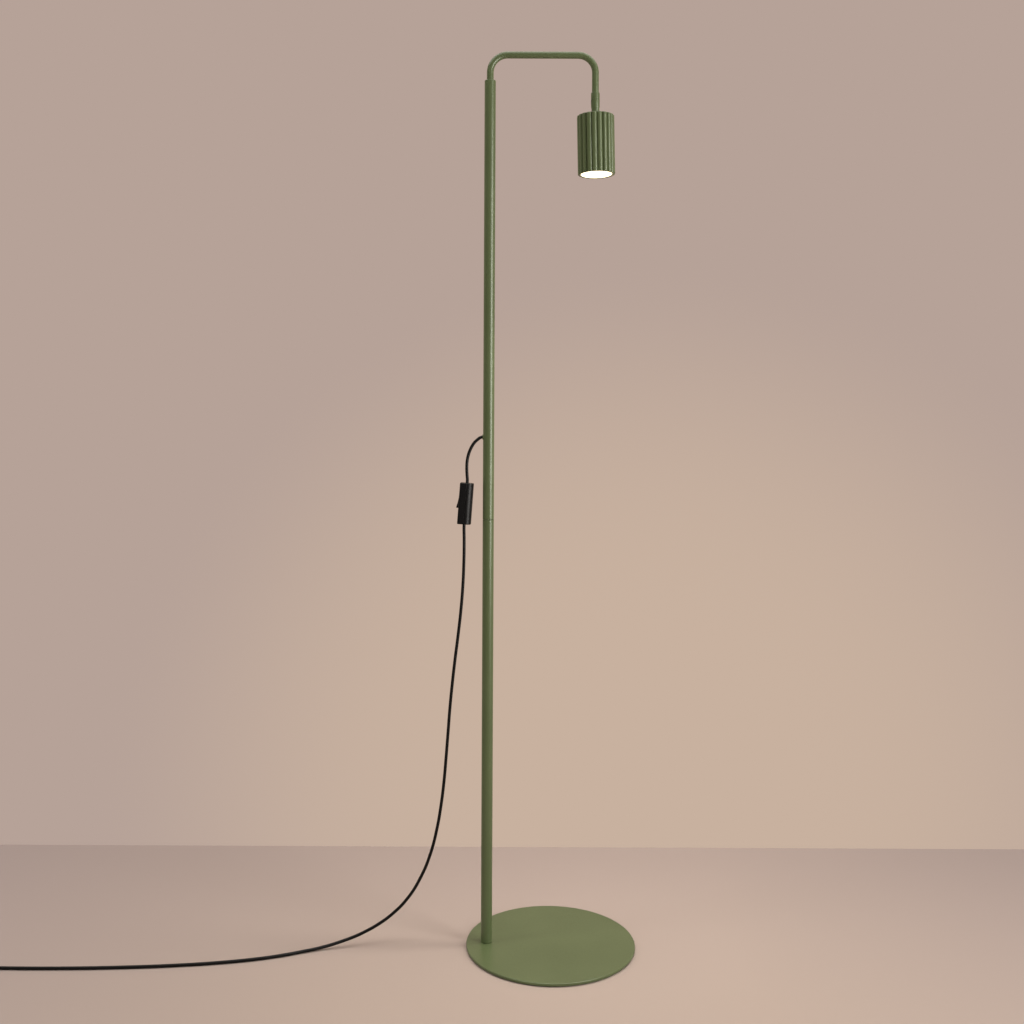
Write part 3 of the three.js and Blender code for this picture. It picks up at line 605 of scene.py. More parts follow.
def add_base():
    low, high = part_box("base_plate")
    radius = (high.x - low.x) / 2
    profile = fillet([
        (0, low.z, 0),
        (radius, low.z, 0.4 * MM),
        (radius, high.z, 1.2 * MM),
        (0, high.z, 0),
    ], 8)
    seat = lathe(scaled([(0, -1), (6.3, -1), (6.3, 0.5), (3.3, 3.5), (3.3, 6), (0, 6)]), 64)
    plate = cut(lathe(profile, 256), moved(seat, POLE_X, 0, low.z))
    add("base_disc", plate, "stand", "olive_paint", ["base_plate"])

    low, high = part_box("base_pad")
    radius = (high.x - low.x) / 2
    profile = fillet([
        (0, low.z, 0),
        (radius, low.z, 0.3 * MM),
        (radius, high.z, 0.3 * MM),
        (0, high.z, 0),
    ], 4)
    way = rod(7 * MM, -MM, 3 * MM)
    add("base_felt", cut(lathe(profile, 192), moved(way, POLE_X, 0, 0)), "stand", "felt", ["base_pad"])

    low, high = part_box("base_screw")
    head, shank = 6 * MM, 3 * MM
    profile = [
        (0, low.z),
        (head - 0.2 * MM, low.z),
        (head, low.z + 0.3 * MM),
        (shank, low.z + 3.3 * MM),
        (shank, high.z - 0.6 * MM),
        (shank - 0.6 * MM, high.z),
        (0, high.z),
    ]
    drive = rod(2.3 * MM, low.z - MM, low.z + 2.3 * MM, 6)
    screw = cut(lathe(profile, 64), drive)
    add("base_bolt", screw, "stand", "zinc_steel", ["base_screw"], AT_POLE, 0.12 * MM)


# ---- pole --------------------------------------------------------------------------

POLE_BORE = POLE_RADIUS - 1.5 * MM
POLE_SEGMENTS = 96
HOLE_RADIUS = 3.7 * MM


def tube_profile(outer, inner, low, high, outer_round, inner_round):
    return fillet([
        (inner, low, inner_round),
        (outer, low, outer_round),
        (outer, high, outer_round),
        (inner, high, inner_round),
    ], 4)


def add_pole():
    low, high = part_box("lower_tube")
    profile = tube_profile(POLE_RADIUS, POLE_BORE, low.z, high.z, 0.5 * MM, 0.2 * MM)
    lower = lathe(profile, POLE_SEGMENTS)
    add("pole_lower", lower, "stand", "olive_paint", ["lower_tube"], AT_POLE)

    low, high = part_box("upper_tube")
    profile = tube_profile(POLE_RADIUS, POLE_BORE, low.z, high.z, 0.6 * MM, 0.3 * MM)
    grommet_low, grommet_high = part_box("cord_grommet")
    hole_z = (grommet_low.z + grommet_high.z) / 2
    hole = turned_to(rod(HOLE_RADIUS, -2 * POLE_RADIUS, 0), "X")
    upper = cut(lathe(profile, POLE_SEGMENTS), moved(hole, 0, 0, hole_z))
    add("pole_upper", upper, "stand", "olive_paint", ["upper_tube"], AT_POLE)

    # The bush's flange hugs the round of the pole, so each point slides in along X by
    # as much as the pole's wall falls away beside the hole.
    bore, flange = 2.9 * MM, 4.3 * MM
    inside, wall = POLE_BORE - 0.6 * MM, POLE_RADIUS + 0.05 * MM
    face = POLE_X - grommet_low.x
    profile = fillet([
        (bore, inside, 0.2 * MM),
        (3.4 * MM, inside, 0.1 * MM),
        (3.4 * MM, wall, 0),
        (flange, wall, 0),
        (flange, face, 0.5 * MM),
        (bore, face, 0.35 * MM),
    ], 5)
    bush = lathe(profile, 64)
    for vertex in bush.verts:
        if vertex.co.z > wall - TINY:
            vertex.co.z += math.sqrt(POLE_RADIUS ** 2 - vertex.co.y ** 2) - POLE_RADIUS
    bush.transform(Matrix.Rotation(math.radians(-90), 4, "Y"))
    place = Matrix.Translation((POLE_X, 0, hole_z))
    add("pole_bush", bush, "stand", "olive_plastic", ["cord_grommet"], place)

    low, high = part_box("pole_top_bush")
    outer = (high.x - low.x) / 2
    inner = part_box("arm_tube")[1].y + 0.1 * MM
    profile = tube_profile(outer, inner, low.z, high.z, 0.4 * MM, 0.5 * MM)
    add("pole_collar", lathe(profile, 80), "stand", "nylon", ["pole_top_bush"], AT_POLE)


# ---- arm ---------------------------------------------------------------------------

ARM_BEND = 28 * MM
ARM_WALL = 1.2 * MM
ARM_SIDES = 56
PIVOT = Vector(next(j["pos_m"] for j in frame["joints"] if j["name"] == "head_tilt"))


def planar_tube(path, outer, inner, sides):
    """A hollow round tube along (x, z) stations in the XZ plane."""
    stations = [Vector((x, 0, z)) for x, z in path]
    sections = []
    for radius in (outer, inner):
        rows = []
        for index, middle in enumerate(stations):
            before = stations[max(index - 1, 0)]
            after = stations[min(index + 1, len(stations) - 1)]
            ahead = (after - before).normalized()
            across = Vector((ahead.z, 0, -ahead.x))
            row = []
            for side in range(sides):
                angle = 2 * math.pi * side / sides
                spoke = across * math.cos(angle) + Vector((0, 1, 0)) * math.sin(angle)
                row.append(middle + spoke * radius)
            rows.append(row)
        sections.append(rows)
    return skin(sections[0] + sections[1][::-1], wrap=True)


def add_arm():
    low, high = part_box("arm_tube")
    radius = high.y
    top = high.z - radius
    right = high.x - radius
    end = PIVOT.z + 9.8 * MM
    path = fillet([
        (POLE_X, low.z, 0),
        (POLE_X, top, ARM_BEND),
        (right, top, ARM_BEND),
        (right, end, 0),
    ], 24)
    tube = planar_tube(path, radius, radius - ARM_WALL, ARM_SIDES)
    add("arm_pipe", tube, "arm", "olive_paint", ["arm_tube"])


# ---- knuckle -----------------------------------------------------------------------

# Millimetres from the pivot, whose axis lies along Y.
KNUCKLE_RADIUS = 7
EAR_RADIUS = 6.97
SHOULDER_RADIUS = 7.25
SHOULDER_ANGLE = 52
SHOULDER_STEPS = 40
LAP_GAP = 0.5
SEAT_Y = 4.2
NUT_Y = -2.6
HEAD_LEAN = 1.2
AT_PIVOT = Matrix.Translation(PIVOT)
AT_HEAD = AT_PIVOT @ Matrix.Rotation(math.radians(-HEAD_LEAN), 4, "Y")


def ear_room(side, up):
    """The room that one half leaves beside its own ear for the other half's ear: round
    over the pivot, then straight down both sides at the angle where the tilt stops."""
    reach = KNUCKLE_RADIUS + 2
    drop = SHOULDER_RADIUS - reach * math.cos(math.radians(SHOULDER_ANGLE))
    drop /= math.sin(math.radians(SHOULDER_ANGLE))
    outline = [(-reach, -reach), (reach, -reach), (reach, drop)]
    for step in range(SHOULDER_STEPS + 1):
        share = step / SHOULDER_STEPS
        angle = math.radians(SHOULDER_ANGLE + (180 - 2 * SHOULDER_ANGLE) * share)
        outline.append((SHOULDER_RADIUS * math.cos(angle), SHOULDER_RADIUS * math.sin(angle)))
    outline.append((-reach, drop))
    if not up:
        outline = [(x, -z) for x, z in outline[::-1]]
    low, high = sorted((-side * LAP_GAP, side * reach))
    room = prism(scaled(outline), low * MM, high * MM)
    room.transform(Matrix.Rotation(math.radians(90), 4, "X"))
    return room


def lap_half(profile, side, up):
    """One half of the lap joint: a turned body, cut back beside the pivot to an ear on
    the given side that ends in a round."""
    wide, tall = (KNUCKLE_RADIUS + 1) * MM, 40 * MM
    low, high = (0, tall) if up else (-tall, 0)
    rest = block((-wide, -wide, low), (wide, wide, high))
    ends = join(rest, turned_to(rod(EAR_RADIUS * MM, -wide, wide, 128), "Y"))
    return cut(limit(lathe(scaled(profile), 128), ends), ear_room(side, up))


def add_knuckle():
    radius = KNUCKLE_RADIUS
    upper = lap_half([
        (0, -radius),
        (radius, -radius),
        (radius, 16.2),
        (radius - 0.25, 16.75),
        (radius - 0.8, 17),
        (0, 17),
    ], 1, True)
    upper = cut(
        upper,
        rod(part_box("arm_tube")[1].y + 0.12 * MM, 9.4 * MM, 18 * MM, 64),
        rod(2.4 * MM, 5 * MM, 10 * MM),
        turned_to(rod(1.6 * MM, 0, 9 * MM), "Y"),
        turned_to(rod(3.1 * MM, SEAT_Y * MM, 9 * MM), "Y"),
    )
    add("knuckle_collar", upper, "head_swivel", "olive_paint", ["knuckle_upper"], AT_PIVOT, 0.2 * MM)

    lower = lap_half([
        (0, -31),
        (4.9, -31),
        (4.9, -21.3),
        (6.3, -21.3),
        (6.3, -9.3),
        (radius, -5.6),
        (radius, radius),
        (0, radius),
    ], -1, False)
    lower = cut(
        lower,
        rod(2.6 * MM, -32 * MM, -5 * MM),
        turned_to(rod(1.75 * MM, -4.6 * MM, 0), "Y"),
        turned_to(rod(3.4 * MM, (NUT_Y - 0.3) * MM, 0, 6), "Y"),
    )
    add("knuckle_shank", lower, "head", "olive_paint", ["knuckle_lower"], AT_HEAD, 0.2 * MM)

    head, shaft, under = 2.75, 1.45, SEAT_Y + 0.2
    profile = fillet([
        (0, -4.2, 0),
        (shaft, -4.2, 0.3),
        (shaft, under, 0),
        (head, under, 0.1),
        (head, 6.3, 0.5),
        (0, 6.3, 0),
    ])
    screw = cut(lathe(scaled(profile), 64), rod(1.5 * MM, 5 * MM, 7 * MM, 6))
    screw = turned_to(screw, "Y")
    add("knuckle_bolt", screw, "head", "black_steel", ["knuckle_screw"], AT_HEAD, 0.1 * MM)

    nut = cut(rod(3.05 * MM, NUT_Y * MM, -0.9 * MM, 6), rod(1.55 * MM, -3 * MM, 0))
    nut = turned_to(nut, "Y")
    add("knuckle_locknut", nut, "head", "black_steel", ["knuckle_nut"], AT_HEAD, 0.15 * MM)

    disc = lathe(scaled(tube_profile(5.8, 1.8, -0.3, 0.3, 0.15, 0.15)), 80)
    disc = turned_to(disc, "Y")
    add("knuckle_washer", disc, "head_swivel", "nylon", ["friction_disc"], AT_PIVOT)


# ---- head --------------------------------------------------------------------------

# Millimetres from the pivot along the leaning head.
SHADE_TOP = -20
SHADE_BOTTOM = -114.5
SHADE_RADIUS = 30
SHADE_BORE = 26
SHADE_LIP = 0.25
RIBS = 20
RIB_RADIUS = 4.3
RIB_CENTRE = SHADE_RADIUS - RIB_RADIUS
RIB_STEPS = 18
RIM_ROUND = 1.5
RIM_STEPS = 6


def flute(drawn):
    """The ribbed outline as (x, y) points; at drawn = 1 it has shrunk to the bore's lip."""
    half = math.pi / RIBS
    spread = math.asin(RIB_CENTRE * math.sin(half) / RIB_RADIUS) + half
    lip = SHADE_BORE + SHADE_LIP
    points = []
    for rib in range(RIBS):
        facing = half * (2 * rib + 1)
        for step in range(RIB_STEPS):
            angle = facing + spread * (2 * step / RIB_STEPS - 1)
            x = RIB_CENTRE * math.cos(facing) + RIB_RADIUS * math.cos(angle)
            y = RIB_CENTRE * math.sin(facing) + RIB_RADIUS * math.sin(angle)
            away = math.hypot(x, y)
            share = 1 - drawn * (away - lip) / away
            points.append((x * share, y * share))
    return points


def shade_mesh():
    """The fluted tube: up its outside, over the rounded rim and down the bore."""
    deep = SHADE_RADIUS - SHADE_BORE - SHADE_LIP
    rims = []
    for step in range(RIM_STEPS + 1):
        angle = math.radians(90 * step / RIM_STEPS)
        rims.append((RIM_ROUND * (1 - math.sin(angle)) / deep, RIM_ROUND * (1 - math.cos(angle))))
    outside = [(drawn, SHADE_BOTTOM + rise) for drawn, rise in rims]
    outside += [(drawn, SHADE_TOP - rise) for drawn, rise in rims[::-1]]
    sections = [[(x, y, z) for x, y in flute(drawn)] for drawn, z in outside]
    for radius, z in (
        (SHADE_BORE + SHADE_LIP, SHADE_TOP),
        (SHADE_BORE, SHADE_TOP - SHADE_LIP),
        (SHADE_BORE, SHADE_BOTTOM + SHADE_LIP),
        (SHADE_BORE + SHADE_LIP, SHADE_BOTTOM),
    ):
        row = []
        for x, y in flute(0):
            away = math.hypot(x, y)
            row.append((radius * x / away, radius * y / away, z))
        sections.append(row)
    return skin([scaled(section) for section in sections], wrap=True)


def add_head():
    add("head_shade", shade_mesh(), "head", "olive_paint", ["shade"], AT_HEAD)

    lid = lathe(scaled(tube_profile(25.7, 5.2, -24, -21.5, 0.5, 0.3)), 160)
    add("head_lid", lid, "head", "olive_paint", ["head_cap"], AT_HEAD)

    # The lamp's white cup, hollow behind its cover.
    rim = 24.9
    cup = lathe(scaled(fillet([
        (0, -73, 0),
        (11, -73, 1),
        (15, -84, 4),
        (21.5, -99, 4),
        (rim - 1, -106, 2),
        (rim - 0.8, -112.6, 0.1),
        (rim, -112.6, 0.2),
        (rim, -105, 3),
        (rim - 2, -98, 5),
        (16.5, -83, 5),
        (12.6, -72, 2),
        (12.4, -65, 1),
        (11.4, -63.2, 0.4),
        (0, -63.2, 0),
    ])), 128)
    add("lamp_cup", cup, "head", "bulb_white", ["bulb_body"], AT_HEAD)

    # Its frosted cover: a flat rim, a fine groove and a shallow dome.
    dome_low, dome_rise, dome_radius, dome_steps = -113.9, 0.45, 21.5, 12
    profile = []
    for step in range(dome_steps + 1):
        share = step / dome_steps
        profile.append((dome_radius * share, dome_low + dome_rise * share ** 2))
    profile += [
        (21.9, -113.3),
        (22.3, -113.5),
        (22.6, -114.0),
        (22.9, -114.1),
        (rim - 0.6, -114.1),
        (rim - 0.15, -113.95),
        (rim, -113.5),
        (rim, -112.9),
        (0, -112.9),
    ]
    add("lamp_cover", lathe(scaled(profile), 128), "head", "lamp_glow", ["bulb_lens"], AT_HEAD)


# ---- in-line switch ----------------------------------------------------------------

# Millimetres from the middle of the case: the rocker faces -X, the cord runs along Z.
SWITCH_TILT = 4
CASE_LENGTH = 66
CASE_DEPTH = 22
CASE_WIDTH = 27
CASE_WALL = 1.8
END_WALL = 2.5
CASE_ROUND = 1.1
CORD_WAY = 2.9
FRONT_CORNER = 3
BACK_CORNER = 10
PARTING = 0.15
CASE_SCREWS = [(8.4, 25), (8.4, -25)]
ROCKER_X = -7.5
ROCKER_Z = 3.5
ROCKER_ANGLE = 9
ROCKER_LENGTH = 24
ROCKER_WIDTH = 13
ROCKER_FACE = -5.25
ROCKER_DISH = 0.55
FACE_STEPS = 16


def switch_place():
    """The case's own frame: its origin is the middle of both halves together."""
    boxes = [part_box(name) for name in ("switch_case_front", "switch_case_back")]
    low = [min(box[0][axis] for box in boxes) for axis in range(3)]
    high = [max(box[1][axis] for box in boxes) for axis in range(3)]
    turn = Matrix.Rotation(math.radians(SWITCH_TILT), 4, "Y")
    return Matrix.Translation((Vector(low) + Vector(high)) / 2) @ turn


def case_outline(inset):
    x, y = CASE_DEPTH / 2 - inset, CASE_WIDTH / 2 - inset
    front, back = FRONT_CORNER - inset, BACK_CORNER - inset
    return fillet([(-x, -y, front), (x, -y, back), (x, y, back), (-x, y, front)], 14)


def case_body(inset, half_length, rounding):
    """The case's shape drawn in by inset, with both ends rounded over."""
    sections = []
    for end in (-1, 1):
        rows = []
        for step in range(6):
            angle = math.radians(90 * step / 5)
            extra = rounding * (1 - math.sin(angle))
            z = end * (half_length - rounding * (1 - math.cos(angle)))
            rows.append([(x, y, z) for x, y in case_outline(inset + extra)])
        sections += rows if end < 0 else rows[::-1]
    return skin([scaled(section) for section in sections])


def case_shell():
    hollow = case_body(CASE_WALL, CASE_LENGTH / 2 - END_WALL, 0.5)
    cord_way = rod(CORD_WAY * MM, -0.04, 0.04)
    return cut(case_body(0, CASE_LENGTH / 2, CASE_ROUND), hollow, cord_way)


def across(radius, low, high, y, z, segments=40):
    """A rod along X through the point (y, z), in millimetres."""
    return moved(turned_to(rod(radius * MM, low * MM, high * MM, segments), "X"), 0, y * MM, z * MM)


def case_screw(y, z):
    """A pan-head screw with a cross recess."""
    profile = fillet([
        (0, -7.5, 0),
        (1.2, -7.5, 0.3),
        (1.2, 4.6, 0),
        (2.3, 4.6, 0.1),
        (2.3, 6.2, 0.7),
        (0, 6.2, 0),
    ])
    body = turned_to(lathe(scaled(profile), 48), "X")
    arms = [
        block((5.3 * MM, -1.3 * MM, -0.25 * MM), (7 * MM, 1.3 * MM, 0.25 * MM)),
        block((5.3 * MM, -0.25 * MM, -1.3 * MM), (7 * MM, 0.25 * MM, 1.3 * MM)),
    ]
    return moved(cut(body, *arms), 0, y * MM, z * MM)


def dished(z):
    """The X of the rocker's hollowed face at height z."""
    return ROCKER_FACE + ROCKER_DISH * (1 - (2 * z / ROCKER_LENGTH) ** 2)


def rocker_mesh():
    """The rocker, with a dished face and three grip ribs near each end."""
    half = ROCKER_LENGTH / 2
    face = []
    for step in range(FACE_STEPS + 1):
        z = 0.985 * half * (2 * step / FACE_STEPS - 1)
        face.append((dished(z), z))
    back = [(-1.4, half - 0.4), (2, 3), (2, -3), (-1.4, -half + 0.4)]
    outline = scaled(face + back)
    width = ROCKER_WIDTH / 2 * MM
    sections = [[(x, y, z) for x, z in outline] for y in (-width, width)]
    body = skin(sections)
    ribs = []
    for end in (-1, 1):
        for number in range(3):
            z = end * (6.6 + 1.5 * number)
            rib = turned_to(rod(0.42 * MM, -4.6 * MM, 4.6 * MM, 20), "Y")
            ribs.append(moved(rib, (dished(z) + 0.18) * MM, 0, z * MM))
    pin = turned_to(rod(1.15 * MM, -8 * MM, 8 * MM, 32), "Y")
    return cut(join(body, *ribs), pin)


def add_switch():
    place = switch_place()
    wide, tall, parting = 0.02, 0.04, PARTING * MM
    sides = [
        block((-wide, -wide, -tall), (-parting, wide, tall)),
        block((parting, -wide, -tall), (wide, wide, tall)),
    ]
    halves = [limit(case_shell(), side) for side in sides]
    bosses = [across(2.8, -9.6, -PARTING, y, z) for y, z in CASE_SCREWS]
    pilots = [across(1.4, -8, 1, y, z) for y, z in CASE_SCREWS]
    x, z = ROCKER_WIDTH / 2 + 0.4, ROCKER_LENGTH / 2 + 1.2
    window = prism(scaled(fillet([(-z, -x, 1), (z, -x, 1), (z, x, 1), (-z, x, 1)])), 8 * MM, 15 * MM)
    window.transform(Matrix.Rotation(math.radians(-90), 4, "Y"))
    window = moved(window, 0, 0, ROCKER_Z * MM)
    front = cut(join(halves[0], *bosses), *pilots, window)
    nodes = ["switch_case_front"]
    pieces = [add("switch_front", front, "stand", "switch_black", nodes, place, 0.22 * MM)]

    posts = [across(3.4, PARTING, 7.5, y, z) for y, z in CASE_SCREWS]
    seats = [across(2.6, 4.3, 12, y, z) for y, z in CASE_SCREWS]
    holes = [across(1.6, -1, 5, y, z) for y, z in CASE_SCREWS]
    back = cut(join(halves[1], *posts), *seats, *holes)
    nodes = ["switch_case_back"]
    pieces.append(add("switch_back", back, "stand", "switch_black", nodes, place, 0.22 * MM))

    for number, (y, z) in enumerate(CASE_SCREWS, 1):
        nodes = [f"case_screw_{number}"]
        screw = case_screw(y, z)
        pieces.append(add(f"switch_screw_{number}", screw, "stand", "black_steel", nodes, place, 0.06 * MM))

    pivot = Matrix.Translation((ROCKER_X * MM, 0, ROCKER_Z * MM))
    tilt = Matrix.Rotation(math.radians(ROCKER_ANGLE), 4, "Y")
    nodes = ["switch_rocker"]
    place = place @ pivot @ tilt
    button = add("switch_button", rocker_mesh(), "rocker", "rocker_black", nodes, place, 0.25 * MM)
    return pieces + [button]


# ---- plug and tie ------------------------------------------------------------------

# Millimetres from the middle of the plug's face, with +Y towards its cord.
PLUG_THICKNESS = 13.4
PLUG_FLANK = [(13, 13), (10.8, 23)]
PIN_X = 9.3
PIN_LENGTH = 19


def add_plug():
    low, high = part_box("plug_body")
    place = Matrix.Translation(((low.x + high.x) / 2, low.y, (low.z + high.z) / 2))
    (wide, near), (narrow, far) = PLUG_FLANK
    right = [(17.2, 0, 1.2), (17.2, 7, 3), (wide, near, 5), (narrow, far, 5), (6.2, 29, 1.5)]
    left = [(-x, y, radius) for x, y, radius in right[::-1]]
    body = prism(scaled(fillet(right + left, 6)), -PLUG_THICKNESS / 2 * MM, PLUG_THICKNESS / 2 * MM)
    grooves = []
    for side in (-1, 1):
        for number in range(4):
            groove = rod(0.7 * MM, -9 * MM, 9 * MM, 20)
            y = near + 1.5 + 2.4 * number
            x = wide - (wide - narrow) * (y - near) / (far - near)
            grooves.append(moved(groove, side * x * MM, y * MM, 0))
    body = cut(body, *grooves)
    pieces = [add("plug_shell", body, "stand", "plug_black", ["plug_body"], place, 1.1 * MM)]

    outer = [(2.7, 29.3), (5, 29.3), (5, 31.5)]
    for ridge in range(6):
        start = 32.2 + 3.4 * ridge
        radius = 4.9 - 0.24 * ridge
        outer += [(radius - 0.9, start), (radius - 0.9, start + 1.1)]
        outer += [(radius, start + 1.5), (radius - 0.05, start + 3.0)]
    outer += [(3.5, 53.4), (3.2, 54), (2.7, 54)]
    sleeve = turned_to(lathe(scaled(outer), 64), "Y")
    pieces.append(add("plug_sleeve", sleeve, "stand", "cord_black", ["plug_relief"], place, 0.12 * MM))

    for number, side in ((1, -1), (2, 1)):
        shift = Matrix.Translation((side * PIN_X * MM, 0, 0))
        prong = lathe(scaled(fillet([
            (0, -PIN_LENGTH, 0),
            (2, -PIN_LENGTH, 1.1),
            (2, -9.8, 0.1),
            (1.6, -9.8, 0),
            (1.6, -0.3, 0),
            (0, -0.3, 0),
        ], 6)), 48)
        nodes = [f"plug_pin_{number}"]
        prong = turned_to(prong, "Y")
        pieces.append(add(f"plug_prong_{number}", prong, "stand", "nickel_pin", nodes, place @ shift))
        guard = turned_to(lathe(scaled(tube_profile(1.95, 1.62, -9.7, -0.3, 0.1, 0.05)), 48), "Y")
        pieces.append(add(f"prong_guard_{number}", guard, "stand", "plug_black", (), place @ shift))
    return pieces


def add_tie():
    """A flat strap round the coil's bundle, where two turns lie on two others."""
    low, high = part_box("cord_coil")
    middle = (low + high) / 2
    inner, outer = COIL_INNER - CORD_RADIUS, COIL_OUTER + CORD_RADIUS
    bottom, top = COIL_LOW - CORD_RADIUS, COIL_HIGH + CORD_RADIUS
    thick, width = 0.45 * MM, 6 * MM
    sections = []
    for y, grow in (
        (-width / 2, 0.1 * MM),
        (-width / 2, thick),
        (width / 2, thick),
        (width / 2, 0.1 * MM),
    ):
        corners = [
            (inner - grow, bottom - grow, CORD_RADIUS),
            (outer + grow, bottom - grow, CORD_RADIUS),
            (outer + grow, top + grow, CORD_RADIUS),
            (inner - grow, top + grow, CORD_RADIUS),
        ]
        sections.append([(x, y, z) for x, z in fillet(corners, 6)])
    turn = Matrix.Rotation(math.radians(TIE_ANGLE), 4, "Z")
    place = Matrix.Translation((middle.x, middle.y, 0)) @ turn
    return add("coil_tie", skin(sections, wrap=True), "stand", "plug_black", (), place)


add_base()
add_pole()
add_arm()
add_knuckle()
add_head()
switch_pieces = add_switch()
plug_pieces = add_plug()
plug_pieces.append(add_tie())

# ---- nodes that stay as they are ---------------------------------------------------

NODE_SLOTS = {
    "zinc_steel": [
        "pole_foot_insert", "lower_joint_insert", "joint_stud", "upper_joint_insert",
        "arm_lock_nut", "wave_washer", "holder_bracket", "shank_nut", "holder_screw_1",
        "holder_screw_2", "rocker_pin",
    ],
    "nylon": ["cord_anchor", "thrust_washer", "terminal_block", "switch_frame"],
    "lead_sheath": ["pole_lead", "arm_lead", "head_lead", "holder_lead_1", "holder_lead_2"],
    "holder_ceramic": ["lamp_holder"],
    "nickel_pin": ["bulb_pin_1", "bulb_pin_2"],
    "contact_brass": ["contact_blade", "switch_terminal_1", "switch_terminal_2"],
    "switch_black": ["cord_grip_1", "cord_grip_2"],
}

for slot, names in NODE_SLOTS.items():
    for name in names:
        node = frame["nodes"][name]
        node.data.materials.clear()
        node.data.materials.append(MATERIALS[slot])

# ---- floor, room and lights --------------------------------------------------------

FLOOR_EDGE = 0.417
FLOOR_REACH = 6
FLOOR_FADE = (1.25, 2.3)
NEAR_WALL = 0.6
# Out to each side of the lamp, between these distances, the floor is painted darker as painted shade.
SIDE_SHADE_SPAN = (0.3, 1.1)
WALL = linear(182, 162, 152)
WALL_GLOW = linear(200, 177, 159)
GLOW_TOWARD = (0.12, 1.0, -0.317)
GLOW_ANGLES = (26.5, 5)
LIGHT_FRONT = (0.11, 0.1, 0.085, 1)
LIGHT_BACK = linear(190, 168, 150)


def fade_out(shader):
    """Far from the lamp the floor is seen as more of the wall's plain colour."""
    away = shader.measured("DISTANCE", shader.coordinates, (POLE_X, 0, 0))
    far = shader.ranged(away, 0.0, 1.0, *FLOOR_FADE, "SMOOTHSTEP")
    path = shader.add("ShaderNodeLightPath")
    seen = shader.add("ShaderNodeMath", operation="MULTIPLY")
    shader.link(far, seen.inputs[0])
    shader.link(path.outputs["Is Camera Ray"], seen.inputs[1])
    plain = shader.add("ShaderNodeEmission")
    plain.inputs["Color"].default_value = WALL
    both = shader.add("ShaderNodeMixShader")
    shader.link(seen.outputs["Value"], both.inputs["Fac"])
    shader.link(shader.bsdf.outputs["BSDF"], both.inputs[1])
    shader.link(plain.outputs["Emission"], both.inputs[2])
    shader.link(both.outputs["Shader"], shader.tree.nodes["Material Output"].inputs["Surface"])


def add_floor():
    """A pale floor that ends behind the lamp, where the wall would stand; painted shade darkens it to each
    side.
    """
    bm = bmesh.new()
    corners = [
        (-FLOOR_REACH, -FLOOR_REACH),
        (FLOOR_REACH, -FLOOR_REACH),
        (FLOOR_REACH, FLOOR_EDGE),
        (-FLOOR_REACH, FLOOR_EDGE),
    ]
    bm.faces.new([bm.verts.new((x, y, 0)) for x, y in corners])
    floor = as_object("floor", bm)
    shader = Shader("floor")
    place = shader.add("ShaderNodeSeparateXYZ")
    shader.link(shader.coordinates, place.inputs["Vector"])
    near_wall = shader.ranged(place.outputs["Y"], 0.0, 1.0, FLOOR_EDGE - NEAR_WALL, FLOOR_EDGE)
    sideways = shader.add("ShaderNodeMath", operation="ABSOLUTE")
    shader.link(place.outputs["X"], sideways.inputs[0])
    # Painted shade: the floor goes from the front colour to the darker side colour as it runs out to each
    # side, where the lights fall off.
    side_shade = shader.ranged(sideways.outputs["Value"], 0.0, 1.0, *SIDE_SHADE_SPAN)
    front = shader.mixed(near_wall, linear(159, 144, 135), linear(159, 144, 138))
    sides = shader.mixed(near_wall, linear(151, 138, 134), linear(150, 137, 134))
    colour = shader.mixed(side_shade, front, sides)
    fine = shader.noise(300, 2)
    shader.fixed(Specular_IOR_Level=0.1)
    material = shader.painted(colour, shader.ranged(fine, 0.8, 0.9), shader.bump(fine, 0.0001, 0.1))
    fade_out(shader)
    floor.data.materials.append(material)


def soft_box(name, place, aim, width, height, power, colour):
    """A rectangular light that faces its aim and isn't itself seen."""
    data = bpy.data.lights.new(name, "AREA")
    data.shape = "RECTANGLE"
    data.size = width
    data.size_y = height
    data.energy = power
    data.color = colour
    light = bpy.data.objects.new(name, data)
    bpy.context.scene.collection.objects.link(light)
    facing = (Vector(aim) - Vector(place)).to_track_quat("-Z", "Y")
    light.matrix_world = Matrix.Translation(place) @ facing.to_matrix().to_4x4()
    light.visible_camera = False
    return light


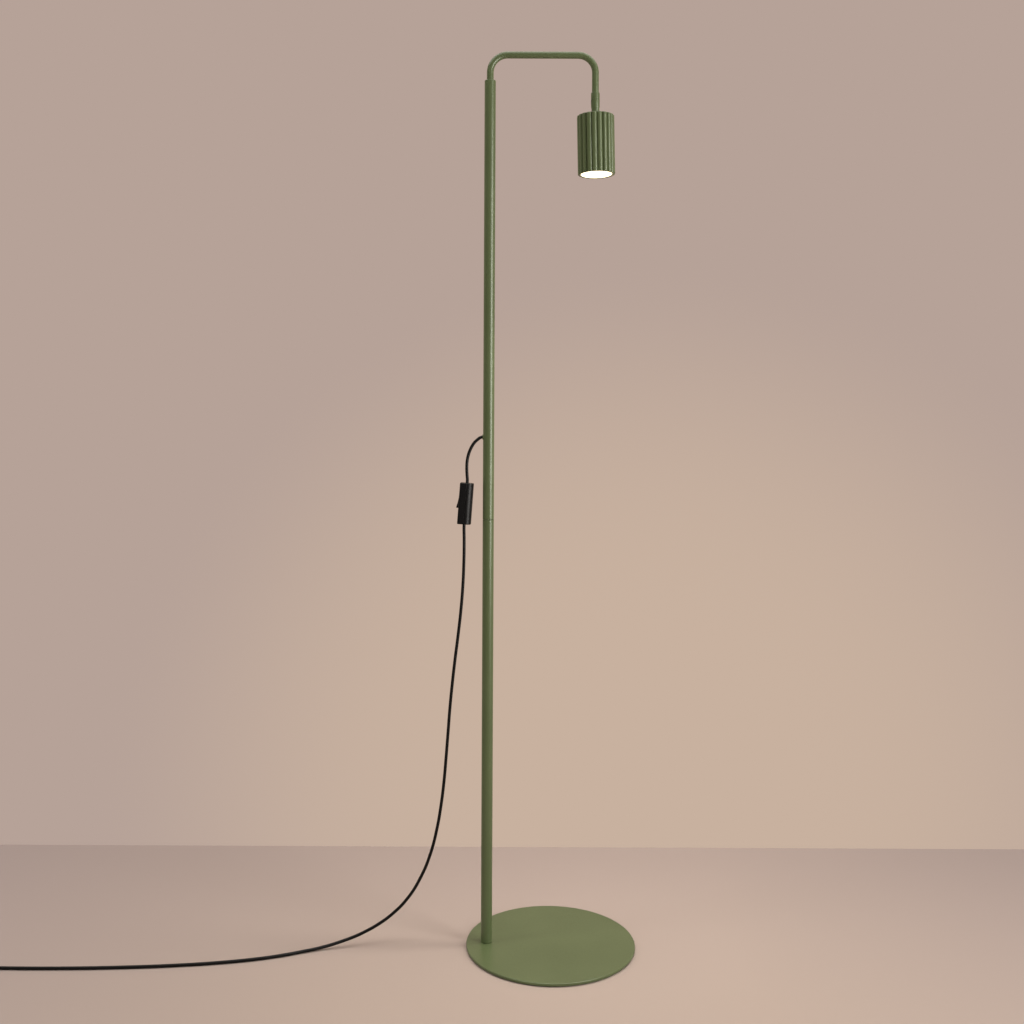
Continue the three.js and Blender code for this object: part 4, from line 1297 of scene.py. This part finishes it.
def lamp_beam(power, width):
    """The light that the lit lamp throws on the base and the floor, from its own cover."""
    data = bpy.data.lights.new("beam", "SPOT")
    data.energy = power
    data.color = (1.0, 0.95, 0.86)
    data.spot_size = math.radians(width)
    data.spot_blend = 1.0
    data.shadow_soft_size = 0.022
    light = bpy.data.objects.new("beam", data)
    bpy.context.scene.collection.objects.link(light)
    light.matrix_world = AT_HEAD @ Matrix.Translation((0, 0, (SHADE_BOTTOM - 2) * MM))


def make_room():
    """A plain warm wall colour all round, brightest behind the foot of the lamp. As a
    source of light it is dimmer on the camera's side, as in a studio."""
    world = bpy.data.worlds.new("room")
    bpy.context.scene.world = world
    world.use_nodes = True
    room = Nodes(world.node_tree)
    direction = room.add("ShaderNodeTexCoord").outputs["Generated"]
    toward = room.measured("DOT_PRODUCT", direction, Vector(GLOW_TOWARD).normalized())
    cosines = [math.cos(math.radians(angle)) for angle in GLOW_ANGLES]
    glow = room.ranged(toward, 0.0, 1.0, *cosines, "SMOOTHSTEP")
    wall = room.mixed(glow, WALL, WALL_GLOW)

    parts = room.add("ShaderNodeSeparateXYZ")
    room.link(direction, parts.inputs["Vector"])
    depth = room.ranged(parts.outputs["Y"], 0.0, 1.0, -0.5, 0.7, "SMOOTHSTEP")
    light = room.mixed(depth, LIGHT_FRONT, LIGHT_BACK)

    path = room.add("ShaderNodeLightPath")
    seen = room.mixed(path.outputs["Is Camera Ray"], light, wall)
    room.link(seen, room.tree.nodes["Background"].inputs["Color"])


add_floor()
make_room()
# The key and the fill don't show in the lamp's gloss, and the sheen shows only there. It
# stands near and high, so that the base mirrors less of it when seen low from behind.
key = soft_box("key", (1.95, -1.4, 1.08), (-0.1, 0, 0.9), 0.95, 1.75, 63, (1.0, 0.97, 0.91))
key.visible_glossy = False
sheen = soft_box("sheen", (0.71, -0.58, 1.02), (-0.1, 0, 1.02), 0.4, 1.05, 15.8, (1.0, 0.97, 0.91))
sheen.visible_diffuse = False
soft_box("top", (-0.1, -0.2, 3.4), (-0.1, -0.3, 0), 5.0, 3.6, 122, (1.0, 0.97, 0.92))
fill = soft_box("fill", (-2.2, -0.7, 1.0), (-0.1, 0, 0.75), 0.5, 1.8, 20, (1.0, 0.97, 0.95))
fill.visible_glossy = False
lamp_beam(17, 80)
bpy.context.scene.view_settings.view_transform = "Standard"
